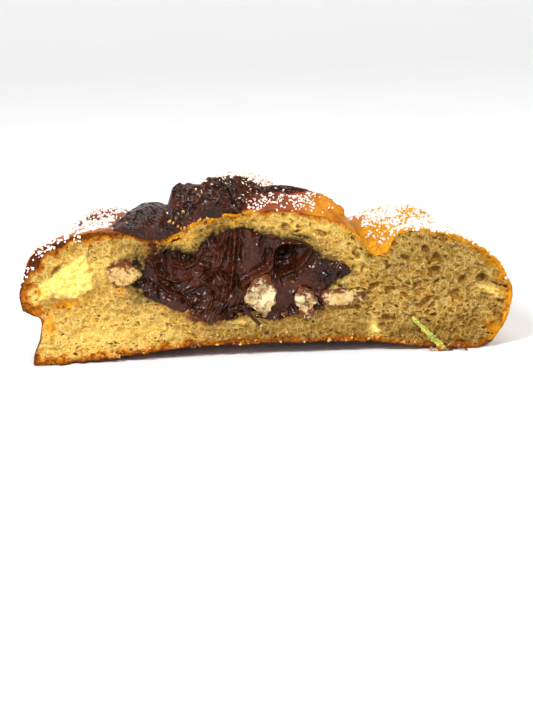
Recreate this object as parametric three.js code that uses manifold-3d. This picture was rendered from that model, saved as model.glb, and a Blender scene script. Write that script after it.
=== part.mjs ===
// Half of a round, sugared sweet bread with bone-shaped ridges and a knob on top, cut straight down
// through its filling. Millimetres, +Z up. The cut face looks along -Y and the bread rests on its base.
// The origin is at the middle of the underside of the bounding box.
import * as THREE from "three";
import { mergeVertices } from "three/addons/utils/BufferGeometryUtils.js";
import Module from "manifold-3d";

const wasm = await Module();
wasm.setup();

// ---------------------------------------------------------------- driving dimensions
const CLEARANCE = 0.3; // gap between two pieces that touch
const BUN_TURNS = 88; // facets round the whole bun
const BUN_ROWS = 42; // rows of facets from the top down to the middle of the base
const COAT_TURNS = 110; // the chocolate coat is finer than the crust under it
const COAT_ROWS = 90;
const CUT_CELL = 2; // facet size on the cut face
const CUT_WIDTH = 140;
const CUT_HEIGHT = 63;

// Half sections of the crust, as [distance from the centre, height], from the top to the base.
// LEFT has a lip of crust that hangs over a torn seam; RIGHT and BACK are plain and round.
const LEFT_SECTION = [
  [0, 31], [10, 30.8], [20, 31.6], [28, 33.1], [36, 34.2], [43, 33.9], [50, 32.3], [56.3, 29.6], [59.2, 25],
  [60.7, 20], [61.1, 16.4], [60.4, 14], [56.4, 12.3], [57, 7.5], [58.9, 1.8], [57, -0.3], [40, 1], [22, 3], [0, 3.4],
];
const RIGHT_SECTION = [
  [0, 31], [10, 31], [20, 31.1], [28, 31], [36, 31.4], [43, 31], [49.5, 28.6], [54.5, 26.1], [59, 22.8],
  [61.3, 18.8], [62.8, 15], [62.1, 11.6], [61.2, 8.4], [59.6, 4.6], [57, 1.6], [52.6, -0.2], [40, 1], [22, 3], [0, 3.4],
];
const BACK_SECTION = [
  [0, 31], [10, 30.8], [20, 30], [28, 28.8], [35, 27.2], [42, 24.8], [48, 22], [53, 18.8], [57, 15.2],
  [59.4, 11.8], [60.2, 9.4], [60, 7.6], [59.3, 5.4], [57.8, 3], [55.5, 0.9], [52, -0.4], [38, -0.5], [22, 0.6], [0, 3.4],
];
const SIDE_SPREAD = 1.6; // how soon the left and right sections give way to the back one
const TOP_END = 0.5; // share of a section that is the upper side of the bun

const HUMP = { x: 0, y: 6, height: 6, halfX: 19.5, halfY: 22, power: 3 };
const RIGHT_SHOULDER = { x: 9.5, y: 10, height: 4.6, halfX: 14, halfY: 7, power: 8 };
const LEFT_SHOULDER = { x: -15.5, y: 8.5, height: 6.2, halfX: 7.5, halfY: 6.5, power: 5 };
const KNOB = { x: -7, y: 19, radius: 12, height: 9.8 };
const CREASE = { x: 28.4, slant: -0.38, height: -5.8, halfX: 4.4, reach: 18 };
const LEFT_DIP = { x: -25, slant: 0, height: -1.6, halfX: 6, reach: 10 };
// A bone is a ridge with knuckles; its angle is counted from the right end of the cut, seen from above.
const BONES = [
  { angle: 34, start: 36, knuckles: [{ at: 43, size: 3.8 }, { at: 63, size: 3.8 }] },
  { angle: 97, start: 36, knuckles: [{ at: 46, size: 4.6 }, { at: 66, size: 3.8 }] },
  { angle: 147, start: 12, knuckles: [{ at: 30, size: 3.6 }, { at: 48, size: 4.8 }, { at: 66, size: 3.8 }] },
];
const BONE = { halfWidth: 10.5, knuckleHalfLength: 8, neck: 0.4, foot: 80, power: 3.2 };
const CRUST_WAVE = { size: 13, height: 0.55 };
const SUGAR_BUMPS = { size: 2.7, height: 0.22 };

const FILLING = { x: -5.5, z: 20.5, depth: 25 };
// The filling's outline on the cut face, as [x, z] from the filling's centre, anticlockwise from the right.
const FILLING_OUTLINE = [
  [27, 1.5], [21, 4], [16, 7.9], [6.5, 10.5], [-1, 12.5], [-7, 10.5], [-12, 6.5], [-17, 7.9], [-23, 5.5],
  [-25.5, -0.5], [-20, -5], [-13, -8.5], [-7.5, -10.3], [1.5, -9], [7.5, -10.3], [13.5, -9], [19.4, -8.4],
  [20.4, -3.5], [24.8, -0.7],
];
const CREAM_LUMPS = [
  { name: "cream_lump_left", x: -35, z: 23.1, halfX: 4.4, halfZ: 2.8, depth: 7, tilt: 0.1 },
  { name: "cream_lump_middle", x: -0.6, z: 16, halfX: 3.5, halfZ: 4.7, depth: 11, tilt: 0.15 },
  { name: "cream_lump_right", x: 9.9, z: 15, halfX: 2.5, halfZ: 3.4, depth: 8, tilt: -0.1 },
  { name: "cream_lump_end", x: 19.6, z: 15.1, halfX: 4.5, halfZ: 2.3, depth: 7, tilt: 0.15 },
];
const CAVE = { x: 5.5, z: 25.8, halfX: 3.8, halfZ: 2.6, depth: 4.5 };

// Where the chocolate coat lies, seen from above: its outline as [x, y].
const COAT_OUTLINE = [
  [-5.5, -4], [-5, 3], [-2.5, 7.5], [3, 7.8], [9, 7.5], [12.5, 10.5], [11, 15.5], [4, 15.5], [-1, 13.5], [-7, 13.5],
  [-13, 14], [-18, 13], [-22, 16], [-27, 19.5], [-33, 17], [-36.5, 10], [-36.5, 3], [-35.5, -4], [-20, -8],
];
const COAT = { edge: 2.2, thickness: 1.5, lumps: 0.7 };
const COAT_HEAP = { x: -15.5, y: 6, radius: 7.5, height: 1.8 };
const COAT_PEAK = { x: -20.8, y: 6.5, radius: 2.6, height: 2.8 };

const ZEST = { length: 12, width: 1.5, thickness: 1, x: 42, z: 4.9, slope: -0.75, bend: 1.2 };

const SUGAR = { clumps: 64, smallest: 0.55, largest: 0.85, sunk: 0.3, seed: 7 };

// ---------------------------------------------------------------- repeatable randomness
function hash(i, j, k) {
  const s = Math.sin(i * 127.1 + j * 311.7 + k * 74.7) * 43758.5453;
  return s - Math.floor(s);
}

const ease = (f) => f * f * (3 - 2 * f);
const mix = (a, b, f) => a + (b - a) * f;
const smoothstep = (low, high, x) => ease(Math.min(1, Math.max(0, (x - low) / (high - low))));
const bell = (distance) => Math.exp(-distance * distance);

// Smooth value noise from -1 to 1, with a feature size of one unit.
function noise(x, y, z) {
  const [i, j, k] = [Math.floor(x), Math.floor(y), Math.floor(z)];
  const [u, v, w] = [ease(x - i), ease(y - j), ease(z - k)];
  const corner = (a, b, c) => hash(i + a, j + b, k + c);
  const edge = (b, c) => mix(corner(0, b, c), corner(1, b, c), u);
  return 2 * mix(mix(edge(0, 0), edge(1, 0), v), mix(edge(0, 1), edge(1, 1), v), w) - 1;
}

// A seeded stream of numbers from 0 to 1.
function randomStream(seed) {
  let n = 0;
  return () => hash(seed, ++n, n * 0.37);
}

// ---------------------------------------------------------------- solids
// A closed geometry as a solid, once only its positions are left and shared corners are merged.
function solidOf(geometry) {
  const bare = geometry.clone();
  bare.deleteAttribute("normal");
  bare.deleteAttribute("uv");
  const merged = mergeVertices(bare, 1e-4);
  return new wasm.Manifold(
    new wasm.Mesh({
      numProp: 3,
      vertProperties: merged.attributes.position.array,
      triVerts: new Uint32Array(merged.index.array),
    }),
  );
}

// A sphere geometry whose point at (t, angle) is moved to place(t, angle): t runs from the top pole, at 0,
// to the bottom pole, at 1, and the angle goes round once.
function shapedSphere(turns, rows, place) {
  const sphere = new THREE.SphereGeometry(1, turns, rows);
  const { position, uv } = sphere.attributes;
  for (let i = 0; i < position.count; i++) {
    const point = place(1 - uv.getY(i), uv.getX(i) * 2 * Math.PI);
    position.setXYZ(i, point.x, point.y, point.z);
  }
  return solidOf(sphere);
}

// The largest separate body of a solid, so that no loose scrap is kept.
function largestBody(solid) {
  return solid.decompose().reduce((best, body) => (body.volume() > best.volume() ? body : best));
}

function meshOf(name, solid, material) {
  const { numProp, numVert, vertProperties, triVerts } = solid.getMesh();
  const corners = new Float32Array(numVert * 3);
  for (let i = 0; i < numVert; i++) {
    corners.set(vertProperties.subarray(i * numProp, i * numProp + 3), i * 3);
  }
  const geometry = new THREE.BufferGeometry();
  geometry.setAttribute("position", new THREE.BufferAttribute(corners, 3));
  geometry.setIndex(new THREE.BufferAttribute(triVerts, 1));
  geometry.computeVertexNormals();
  const mesh = new THREE.Mesh(geometry, material);
  mesh.name = name;
  return mesh;
}

// ---------------------------------------------------------------- the bun's crust
const splineOf = (points) => new THREE.SplineCurve(points.map(([r, z]) => new THREE.Vector2(r, z)));
const [leftSpline, rightSpline, backSpline] = [LEFT_SECTION, RIGHT_SECTION, BACK_SECTION].map(splineOf);

// The half section at an angle: left or right near the cut, and back between them.
function sectionPoint(t, angle) {
  const side = Math.cos(angle);
  const left = Math.max(0, -side) ** SIDE_SPREAD;
  const right = Math.max(0, side) ** SIDE_SPREAD;
  return backSpline
    .getPoint(t)
    .multiplyScalar(1 - left - right)
    .addScaledVector(leftSpline.getPoint(t), left)
    .addScaledVector(rightSpline.getPoint(t), right);
}

// How far a bone stands out at a place that is `along` and `across` its ridge.
function boneHeight(bone, along, across) {
  let height = 0;
  let width = BONE.neck;
  for (const { at, size } of bone.knuckles) {
    const near = bell((along - at) / BONE.knuckleHalfLength);
    height += size * near;
    width += (1 - BONE.neck) * near;
  }
  const neck = BONE.neck * bone.knuckles.at(-1).size;
  const ends = smoothstep(bone.start - 12, bone.start, along) * (1 - smoothstep(BONE.foot - 8, BONE.foot, along));
  const halfWidth = BONE.halfWidth * mix(0.75, 1, Math.min(1, width));
  return Math.max(height, neck) * ends * Math.exp(-(Math.abs(across / halfWidth) ** BONE.power));
}

const swell = ({ x: midX, y: midY, height, halfX, halfY, power }, x, y) =>
  height * Math.exp(-(Math.abs((x - midX) / halfX) ** power)) * bell((y - midY) / halfY);
const groove = ({ x: start, slant, height, halfX, reach }, x, y) =>
  height * bell((x - start - slant * Math.abs(y)) / halfX) * bell(y / reach);

// Everything that stands out of the plain bun or sinks into it. `run` is the length over the crust from the top.
function crustRelief(x, y, z, run) {
  const angle = Math.atan2(Math.abs(y), x);
  const bones = BONES.map((bone) => {
    const turn = angle - THREE.MathUtils.degToRad(bone.angle);
    return boneHeight(bone, run * Math.cos(turn), Math.hypot(x, y) * Math.sin(turn));
  });
  const fromKnob = Math.hypot(x - KNOB.x, Math.abs(y) - KNOB.y) / KNOB.radius;
  const knob = KNOB.height * Math.sqrt(Math.max(0, 1 - fromKnob ** 2.6));
  const wave = CRUST_WAVE.height * noise(x / CRUST_WAVE.size, y / CRUST_WAVE.size, z / CRUST_WAVE.size + 5);
  const bumps = SUGAR_BUMPS.height * noise(x / SUGAR_BUMPS.size, y / SUGAR_BUMPS.size, z / SUGAR_BUMPS.size);
  const crown = Math.max(swell(LEFT_SHOULDER, x, y), swell(RIGHT_SHOULDER, x, y), knob);
  const raised = Math.max(swell(HUMP, x, y), ...bones) + crown;
  return raised + groove(CREASE, x, y) + groove(LEFT_DIP, x, y) + wave + bumps;
}

// A point of the crust, moved out by grow(x, y), with its outward direction.
function crustPoint(t, angle, grow) {
  const here = sectionPoint(t, angle);
  const step = 1e-3;
  const slope = sectionPoint(Math.min(1, t + step), angle).sub(sectionPoint(Math.max(0, t - step), angle));
  const radial = Math.sqrt(1 - smoothstep(3, 0, here.x)) * -slope.y;
  const out = new THREE.Vector3(radial * Math.cos(angle), radial * Math.sin(angle), slope.x).normalize();
  const point = new THREE.Vector3(here.x * Math.cos(angle), here.x * Math.sin(angle), here.y);
  const upper = 1 - smoothstep(TOP_END, TOP_END + 0.12, t);
  const run = here.x + Math.max(0, 27 - here.y) * 0.8;
  const relief = upper * crustRelief(point.x, point.y, point.z, run);
  return point.addScaledVector(out, relief + grow(point.x, point.y));
}

function bun(grow, turns = BUN_TURNS, rows = BUN_ROWS) {
  return shapedSphere(turns, rows, (t, angle) => crustPoint(t, angle, grow));
}

// ---------------------------------------------------------------- the cut
// Pores and tears of the crumb, as a distance that the surface lies behind the cut.
function crumbRelief(x, z) {
  const pores = noise(x / 3.1, 4, z / 2.3) * 0.35 + noise(x / 1.9, 9, z / 1.6) * 0.3;
  const bulge = -1.3 * bell((x + 46) / 12) * bell((z - 21) / 8);
  const cavity = 2.2 * bell((x + 51) / 5) * bell((z - 14.2) / 1.8);
  const hollow = 1.1 * bell((x - 52) / 8) * bell((z - 17) / 6);
  const sag = 0.7 * bell((x - 5) / 40) * bell((z - 6) / 5);
  return 0.5 + pores + bulge + cavity + hollow + sag;
}

// A block below the bread, up to height 0, that trims its base flat.
function baseTrim() {
  const block = new THREE.BoxGeometry(CUT_WIDTH, CUT_WIDTH, 10);
  block.translate(0, 0, -5);
  return solidOf(block);
}

// A block in front of the bread, whose near side is shaped by depth(x, z): what it covers is cut away.
function cutter(depth, cell = CUT_CELL) {
  const [across, up] = [Math.round(CUT_WIDTH / cell), Math.round(CUT_HEIGHT / cell)];
  const thick = 90;
  const block = new THREE.BoxGeometry(CUT_WIDTH, thick, CUT_HEIGHT, across, 1, up);
  block.translate(0, -thick / 2, CUT_HEIGHT / 2 - 4);
  const { position } = block.attributes;
  for (let i = 0; i < position.count; i++) {
    if (position.getY(i) > -1) {
      position.setY(i, depth(position.getX(i), position.getZ(i)));
    }
  }
  return solidOf(block);
}

// ---------------------------------------------------------------- filling and cream
const outlineCurve = new THREE.CatmullRomCurve3(
  FILLING_OUTLINE.map(([x, z]) => new THREE.Vector3(x, 0, z)),
  true,
);

// A lens round an axis along Y: its outline at the cut is rim(angle), anticlockwise from the right, and
// it narrows to a point behind.
function lens(centre, depth, rim, turns, rows) {
  return shapedSphere(turns, rows, (t, angle) => {
    const edge = rim(Math.PI - angle).multiplyScalar(Math.sin(Math.PI * t) ** 0.8);
    return new THREE.Vector3(centre.x + edge.x, depth * Math.cos(Math.PI * t), centre.z + edge.z);
  });
}

function fillingBody(grow) {
  const rim = (angle) => {
    const share = angle / (2 * Math.PI) + 1;
    const along = outlineCurve.getPoint(share + 0.005).sub(outlineCurve.getPoint(share - 0.005)).normalize();
    return outlineCurve.getPoint(share).add(new THREE.Vector3(along.z, 0, -along.x).multiplyScalar(grow));
  };
  return lens(FILLING, FILLING.depth + grow, rim, 46, 14);
}

function creamBody(lump, grow) {
  const rim = (angle) => {
    const wobble = 1 + 0.2 * noise(Math.cos(angle) * 2 + lump.x, Math.sin(angle) * 2, 3);
    const x = (lump.halfX * wobble + grow) * Math.cos(angle);
    const z = (lump.halfZ * wobble + grow) * Math.sin(angle);
    return new THREE.Vector3(x * Math.cos(lump.tilt) - z * Math.sin(lump.tilt), 0, x * Math.sin(lump.tilt) + z);
  };
  return lens(lump, lump.depth + grow, rim, 16, 10);
}

// Folds and smears of the chocolate, as a distance behind the cut: mostly it stands a little proud.
function chocolateRelief(x, z) {
  const folds = 0.75 * Math.sin(x / 2.3 + 1.6 * noise(x / 7, 2, z / 6) + z / 5);
  const lumps = 0.8 * noise(x / 3.4, 6, z / 3.4);
  const cave = CAVE.depth * bell((x - CAVE.x) / CAVE.halfX) * bell((z - CAVE.z) / CAVE.halfZ);
  return -0.5 + folds * 0.6 + lumps * 0.6 + cave;
}

const creamRelief = (x, z) => -0.9 + 0.5 * noise(x / 2.2, 8, z / 2.2);

// ---------------------------------------------------------------- chocolate coat
const coatCurve = new THREE.CatmullRomCurve3(
  COAT_OUTLINE.map(([x, y]) => new THREE.Vector3(x, y, 0)),
  true,
);
const coatRim = coatCurve.getPoints(90);

// Distance inside the coat's outline, seen from above; outside it is negative.
function insideCoat(x, y) {
  let nearest = Infinity;
  let crossings = 0;
  for (let i = 0; i + 1 < coatRim.length; i++) {
    const [a, b] = [coatRim[i], coatRim[i + 1]];
    nearest = Math.min(nearest, Math.hypot(x - a.x, y - a.y));
    if (a.y > y !== b.y > y && x < a.x + ((y - a.y) * (b.x - a.x)) / (b.y - a.y)) {
      crossings++;
    }
  }
  return crossings % 2 ? nearest : -nearest;
}

const fromSpot = (spot, x, y) => Math.hypot(x - spot.x, y - spot.y) / spot.radius;

// How far the coat stands above the crust; below 0 there is none.
function coatThickness(x, y) {
  const inside = Math.max(-3, Math.min(insideCoat(x, y), COAT.edge));
  const lumps = COAT.lumps * noise(x / 4.2, y / 4.2, 1) + 0.4 * noise(x / 2, y / 2, 2);
  const heap = COAT_HEAP.height * Math.exp(-(fromSpot(COAT_HEAP, x, y) ** 6));
  const peak = COAT_PEAK.height * bell(fromSpot(COAT_PEAK, x, y));
  return inside > 0 ? (COAT.thickness + lumps + heap + peak) * Math.sqrt(inside / COAT.edge) + 0.1 : 0.4 * inside;
}

// ---------------------------------------------------------------- zest shred
function zestShred() {
  const half = ZEST.length / 2;
  const path = new THREE.QuadraticBezierCurve3(
    new THREE.Vector3(-half, 0, 0),
    new THREE.Vector3(0, 0, ZEST.bend),
    new THREE.Vector3(half, 0, 0),
  );
  const section = new THREE.Shape();
  section.absellipse(0, 0, ZEST.thickness / 2, ZEST.width / 2, 0, 2 * Math.PI);
  const strip = new THREE.ExtrudeGeometry(section, { steps: 7, extrudePath: path, curveSegments: 4 });
  strip.rotateY(-ZEST.slope);
  strip.translate(ZEST.x, ZEST.thickness * 0.3, ZEST.z);
  return solidOf(strip);
}

// ---------------------------------------------------------------- sugar clumps on the crust
function sugarClumps() {
  const next = randomStream(SUGAR.seed);
  const clumps = [];
  while (clumps.length < SUGAR.clumps) {
    const t = mix(0.12, 0.47, next() ** 0.7);
    const angle = mix(0.06, 0.94, next()) * Math.PI;
    const size = mix(SUGAR.smallest, SUGAR.largest, next());
    const point = crustPoint(t, angle, () => size * (1 - 2 * SUGAR.sunk));
    if (insideCoat(point.x, point.y) < -4 && point.y > 2) {
      const grain = new THREE.OctahedronGeometry(size, 0);
      grain.rotateX(next() * Math.PI);
      grain.rotateY(next() * Math.PI);
      grain.translate(point.x, point.y, point.z);
      clumps.push(solidOf(grain));
    }
  }
  return clumps;
}

// ---------------------------------------------------------------- the pieces
const creamSpaces = CREAM_LUMPS.map((lump) => creamBody(lump, CLEARANCE));
const hollow = wasm.Manifold.union([fillingBody(CLEARANCE), ...creamSpaces]);
const trimmed = bun(() => 0).subtract(baseTrim()).subtract(cutter(crumbRelief)).subtract(hollow);
const bread = largestBody(wasm.Manifold.union([trimmed, zestShred(), ...sugarClumps()]));

const chocolateFilling = largestBody(
  fillingBody(0).subtract(cutter(chocolateRelief, 2.5)).subtract(wasm.Manifold.union(creamSpaces)),
);
const cream = CREAM_LUMPS.map((lump) => creamBody(lump, 0).subtract(cutter(creamRelief)));
const coatBlank = bun(coatThickness, COAT_TURNS, COAT_ROWS);
const chocolateCoat = largestBody(coatBlank.subtract(bun(() => CLEARANCE)).subtract(cutter(() => 0.2)));

const MATERIALS = {
  bread: new THREE.MeshStandardMaterial({ color: 0xd9b06a, roughness: 0.9, metalness: 0 }),
  chocolate: new THREE.MeshStandardMaterial({ color: 0x2e150c, roughness: 0.3, metalness: 0 }),
  cream: new THREE.MeshStandardMaterial({ color: 0xf2e9cf, roughness: 0.5, metalness: 0 }),
};

const half = new THREE.Group();
half.add(meshOf("bread", bread, MATERIALS.bread));
half.add(meshOf("chocolate_filling", chocolateFilling, MATERIALS.chocolate));
half.add(meshOf("chocolate_coat", chocolateCoat, MATERIALS.chocolate));
CREAM_LUMPS.forEach((lump, i) => half.add(meshOf(lump.name, cream[i], MATERIALS.cream)));

// The whole is set down so that the origin is at the middle of the underside of its bounding box.
const box = new THREE.Box3().setFromObject(half);
const middle = box.getCenter(new THREE.Vector3());
half.position.set(-middle.x, -middle.y, -box.min.z);

export default half;
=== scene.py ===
"""Looks of half a filled pan de muerto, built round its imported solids.

Shapes are worked out in millimetres in the bun's own frame, with the bun's axis at x = y = 0 and the cut
face at y = 0, and are moved and scaled to the solids' frame as each mesh is made.
"""

import itertools
import math

import bmesh
import bpy
import numpy as np
import openvdb as vdb
from mathutils import Matrix, Vector


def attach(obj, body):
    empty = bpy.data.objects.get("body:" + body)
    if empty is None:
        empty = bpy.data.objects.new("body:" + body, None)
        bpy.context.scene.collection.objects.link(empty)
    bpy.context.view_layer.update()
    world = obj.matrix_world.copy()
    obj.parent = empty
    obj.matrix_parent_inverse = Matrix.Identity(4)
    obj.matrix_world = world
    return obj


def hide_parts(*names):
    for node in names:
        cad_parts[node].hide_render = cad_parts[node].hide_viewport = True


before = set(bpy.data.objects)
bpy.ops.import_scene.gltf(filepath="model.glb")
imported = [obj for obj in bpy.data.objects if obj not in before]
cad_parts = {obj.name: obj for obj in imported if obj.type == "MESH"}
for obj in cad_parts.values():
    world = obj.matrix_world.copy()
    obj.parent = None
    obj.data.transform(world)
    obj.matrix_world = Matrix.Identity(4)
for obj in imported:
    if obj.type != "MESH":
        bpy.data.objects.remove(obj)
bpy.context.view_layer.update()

# ---------------------------------------------------------------- sizes
ORIGIN = np.array([-0.59, -29.99, 0.0])  # the bun's axis in the solids' frame
VOXEL = 0.27  # sampling of the bread
FINE_VOXEL = 0.2  # sampling of chocolate and cream

LEFT_SECTION = [
    (0, 31), (10, 30.8), (20, 31.6), (28, 33.1), (36, 34.2), (43, 33.9), (50, 32.3), (56.3, 29.6),
    (59.2, 25), (60.7, 20), (61.1, 16.4), (60.4, 14), (56.4, 12.3), (57, 7.5), (58.9, 1.8), (57, -0.3),
    (40, 1), (22, 3), (0, 3.4),
]
RIGHT_SECTION = [
    (0, 31), (10, 31), (20, 31.1), (28, 31), (36, 31.4), (43, 31), (49.5, 28.6), (54.5, 26.1),
    (59, 22.8), (61.3, 18.8), (62.8, 15), (62.1, 11.6), (61.2, 8.4), (59.6, 4.6), (57, 1.6), (52.6, -0.2),
    (40, 1), (22, 3), (0, 3.4),
]
BACK_SECTION = [
    (0, 31), (10, 30.8), (20, 30), (28, 28.8), (35, 27.2), (42, 24.8), (48, 22), (53, 18.8),
    (57, 15.2), (59.4, 11.8), (60.2, 9.4), (60, 7.6), (59.3, 5.4), (57.8, 3), (55.5, 0.9), (52, -0.4),
    (38, -0.5), (22, 0.6), (0, 3.4),
]
SIDE_SPREAD = 1.6
TOP_END = 0.5

# Swellings of the top: x, y, height, half lengths along x and y, and how square their sides are.
HUMP = (0, 6, 6, 19.5, 22, 3)
RIGHT_SHOULDER = (9.5, 10, 4.6, 14, 7, 8)
LEFT_SHOULDER = (-15.5, 8.5, 6.2, 7.5, 6.5, 5)
KNOB = (-7, 19, 12, 9.8)  # x, y, radius, height
# Grooves: x at the cut, lean, height, half width and how far back they reach.
CREASE = (28.4, -0.38, -5.8, 4.4, 18)
LEFT_DIP = (-25, 0, -1.6, 6, 10)
# Bones: angle from the right end of the cut, where they start, and their knuckles as (place, size).
BONES = [
    (34, 36, [(43, 3.8), (63, 3.8)]),
    (97, 36, [(46, 4.6), (66, 3.8)]),
    (147, 12, [(30, 3.6), (48, 4.8), (66, 3.8)]),
]
BONE_HALF_WIDTH = 10.5
KNUCKLE_HALF_LENGTH = 8
BONE_NECK = 0.4
BONE_FOOT = 80
BONE_POWER = 3.2

FILLING_CENTRE = (-5.5, 20.5)
FILLING_DEPTH = 25
FILLING_OUTLINE = [
    (27, 1.5), (21, 4), (16, 7.9), (6.5, 10.5), (-1, 12.5), (-7, 10.5), (-12, 6.5), (-17, 7.9), (-23, 5.5),
    (-25.5, -0.5), (-20, -5), (-13, -8.5), (-7.5, -10.3), (1.5, -9), (7.5, -10.3), (13.5, -9),
    (19.4, -8.4), (20.4, -3.5), (24.8, -0.7),
]
CREAM_LUMPS = {
    "cream_lump_left": (-35, 23.1, 4.4, 2.8, 7),
    "cream_lump_middle": (-0.6, 16, 3.5, 4.7, 11),
    "cream_lump_right": (9.9, 15, 2.5, 3.4, 8),
    "cream_lump_end": (19.6, 15.1, 4.5, 2.3, 7),
}
CREAM_STAINS = {  # how far chocolate is smeared over each lump
    "cream_lump_left": 0.39, "cream_lump_middle": 0.4, "cream_lump_right": 0.47, "cream_lump_end": 0.43,
}
CAVE = (5.5, 25.8, 3.8, 2.6, 4.5)  # x, z, half width, half height, depth

COAT_OUTLINE = [
    (-5.5, -4), (-5, 3), (-2.5, 7.5), (3, 7.8), (9, 7.5), (12.5, 10.5), (11, 15.5), (4, 15.5), (-1, 13.5),
    (-7, 13.5), (-13, 14), (-18, 13), (-22, 16), (-27, 19.5), (-33, 17), (-36.5, 10), (-36.5, 3),
    (-35.5, -4), (-20, -8),
]
COAT_EDGE = 2.2
COAT_THICKNESS = 1.5
COAT_HEAP = (-15.5, 6, 7.5, 1.3)
COAT_PEAK = (-20.8, 6.5, 2.6, 2.8)


# ---------------------------------------------------------------- curves and smooth steps
TINY = 1e-12  # keeps a division from failing
FAR = 1e9  # more than any distance here


def smoothstep(low, high, x):
    f = np.clip((x - low) / (high - low), 0, 1)
    return f * f * (3 - 2 * f)


def bell(distance):
    return np.exp(-distance * distance)


def near(x, middle, half_width):
    """1 at the middle, fading to both sides."""
    return bell((x - middle) / half_width)


def spline(points, t):
    """Points of a smooth open curve through `points`, at shares t of its length in points."""
    points = np.array(points, float)
    last = len(points) - 1
    place = np.clip(t, 0, 1) * last
    i = np.minimum(place.astype(int), last - 1)
    f = (place - i)[..., None]
    p0, p1, p2, p3 = (points[np.clip(i + k, 0, last)] for k in (-1, 0, 1, 2))
    v0, v1 = (p2 - p0) / 2, (p3 - p1) / 2
    return (2 * p1 - 2 * p2 + v0 + v1) * f**3 + (3 * p2 - 3 * p1 - 2 * v0 - v1) * f**2 + v0 * f + p1


def closed_outline(points, steps=12):
    """A smooth closed outline through `points`."""
    points = np.array(points, float)
    padded = np.vstack([points[-1:], points, points[:2]])
    t = np.linspace(1, len(points) + 1, steps * len(points), endpoint=False) / (len(padded) - 1)
    return spline(padded, t)


def segment_distance(u, v, start, end):
    """Distance from a straight line between two points."""
    (ax, ay), (bx, by) = start, end
    ex, ey = bx - ax, by - ay
    share = np.clip(((u - ax) * ex + (v - ay) * ey) / (ex * ex + ey * ey + TINY), 0, 1)
    return np.hypot(u - ax - share * ex, v - ay - share * ey)


def outline_distance(outline, u, v):
    """Signed distance from an outline at the points (u, v), negative inside."""
    shape = np.broadcast(u, v).shape
    u, v = np.broadcast_to(u, shape).ravel(), np.broadcast_to(v, shape).ravel()
    nearest = np.full(u.shape, FAR)
    inside = np.zeros(u.shape, bool)
    for start, end in zip(outline, np.roll(outline, -1, axis=0)):
        nearest = np.minimum(nearest, segment_distance(u, v, start, end))
        run_u, run_v = end - start
        crosses = (start[1] > v) != (end[1] > v)
        inside ^= crosses & (u < start[0] + (v - start[1]) * run_u / (run_v if run_v else TINY))
    return np.where(inside, -nearest, nearest).reshape(shape)


def line_distance(line, u, v):
    """Distance from a smooth open line at the points (u, v)."""
    line = spline(line, np.linspace(0, 1, 6 * len(line)))
    nearest = np.full(np.broadcast(u, v).shape, FAR)
    for start, end in zip(line[:-1], line[1:]):
        nearest = np.minimum(nearest, segment_distance(u, v, start, end))
    return nearest


def spots(places, x, z):
    """Strength from 0 to 1 of a list of soft spots: x, z, half width, half height, lean, strength."""
    total = 0
    for spot_x, spot_z, half_x, half_z, lean, strength in places:
        dx = x - spot_x
        total = np.maximum(total, strength * bell(dx / half_x) * bell((z - spot_z - lean * dx) / half_z))
    return total


# ---------------------------------------------------------------- smooth noise
def blend_corners(shares, value_at):
    """Mixes the values at a lattice cell's eight corners, by how far along each side a point is."""
    u, v, w = shares
    total = 0
    for a, b, c in itertools.product((0, 1), repeat=3):
        weight = (u if a else 1 - u) * (v if b else 1 - v) * (w if c else 1 - w)
        total = total + weight * value_at(a, b, c)
    return total


def lattice_noise(x, y, z):
    """Value noise from -1 to 1 with a feature size of one unit, the same as the solids use."""
    x, y, z = np.broadcast_arrays(np.asarray(x, float), np.asarray(y, float), np.asarray(z, float))
    i, j, k = np.floor(x), np.floor(y), np.floor(z)

    def corner(a, b, c):
        s = np.sin((i + a) * 127.1 + (j + b) * 311.7 + (k + c) * 74.7) * 43758.5453
        return s - np.floor(s)

    shares = [f * f * (3 - 2 * f) for f in (x - i, y - j, z - k)]
    return 2 * blend_corners(shares, corner) - 1


def smooth_weights(coords, size):
    """How each coordinate mixes the random values of a lattice that is `size` apart."""
    place = coords / size
    first = np.floor(place.min()) - 1
    i = np.floor(place).astype(int)
    f = place - i
    weights = np.zeros((len(coords), int(i.max() - first) + 4))
    rising = (-3 * f**3 + 3 * f**2 + 3 * f + 1) / 6
    parts = ((1 - f) ** 3 / 6, (3 * f**3 - 6 * f**2 + 4) / 6, rising, f**3 / 6)
    for k, part in enumerate(parts):
        weights[np.arange(len(coords)), i - int(first) + k - 1] = part
    return weights.astype(np.float32)


def mix_axes(values, weights):
    """Applies one matrix of weights along each axis in turn."""
    for matrix in weights:
        values = np.tensordot(values, matrix, axes=(0, 1))
    return values


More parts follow.
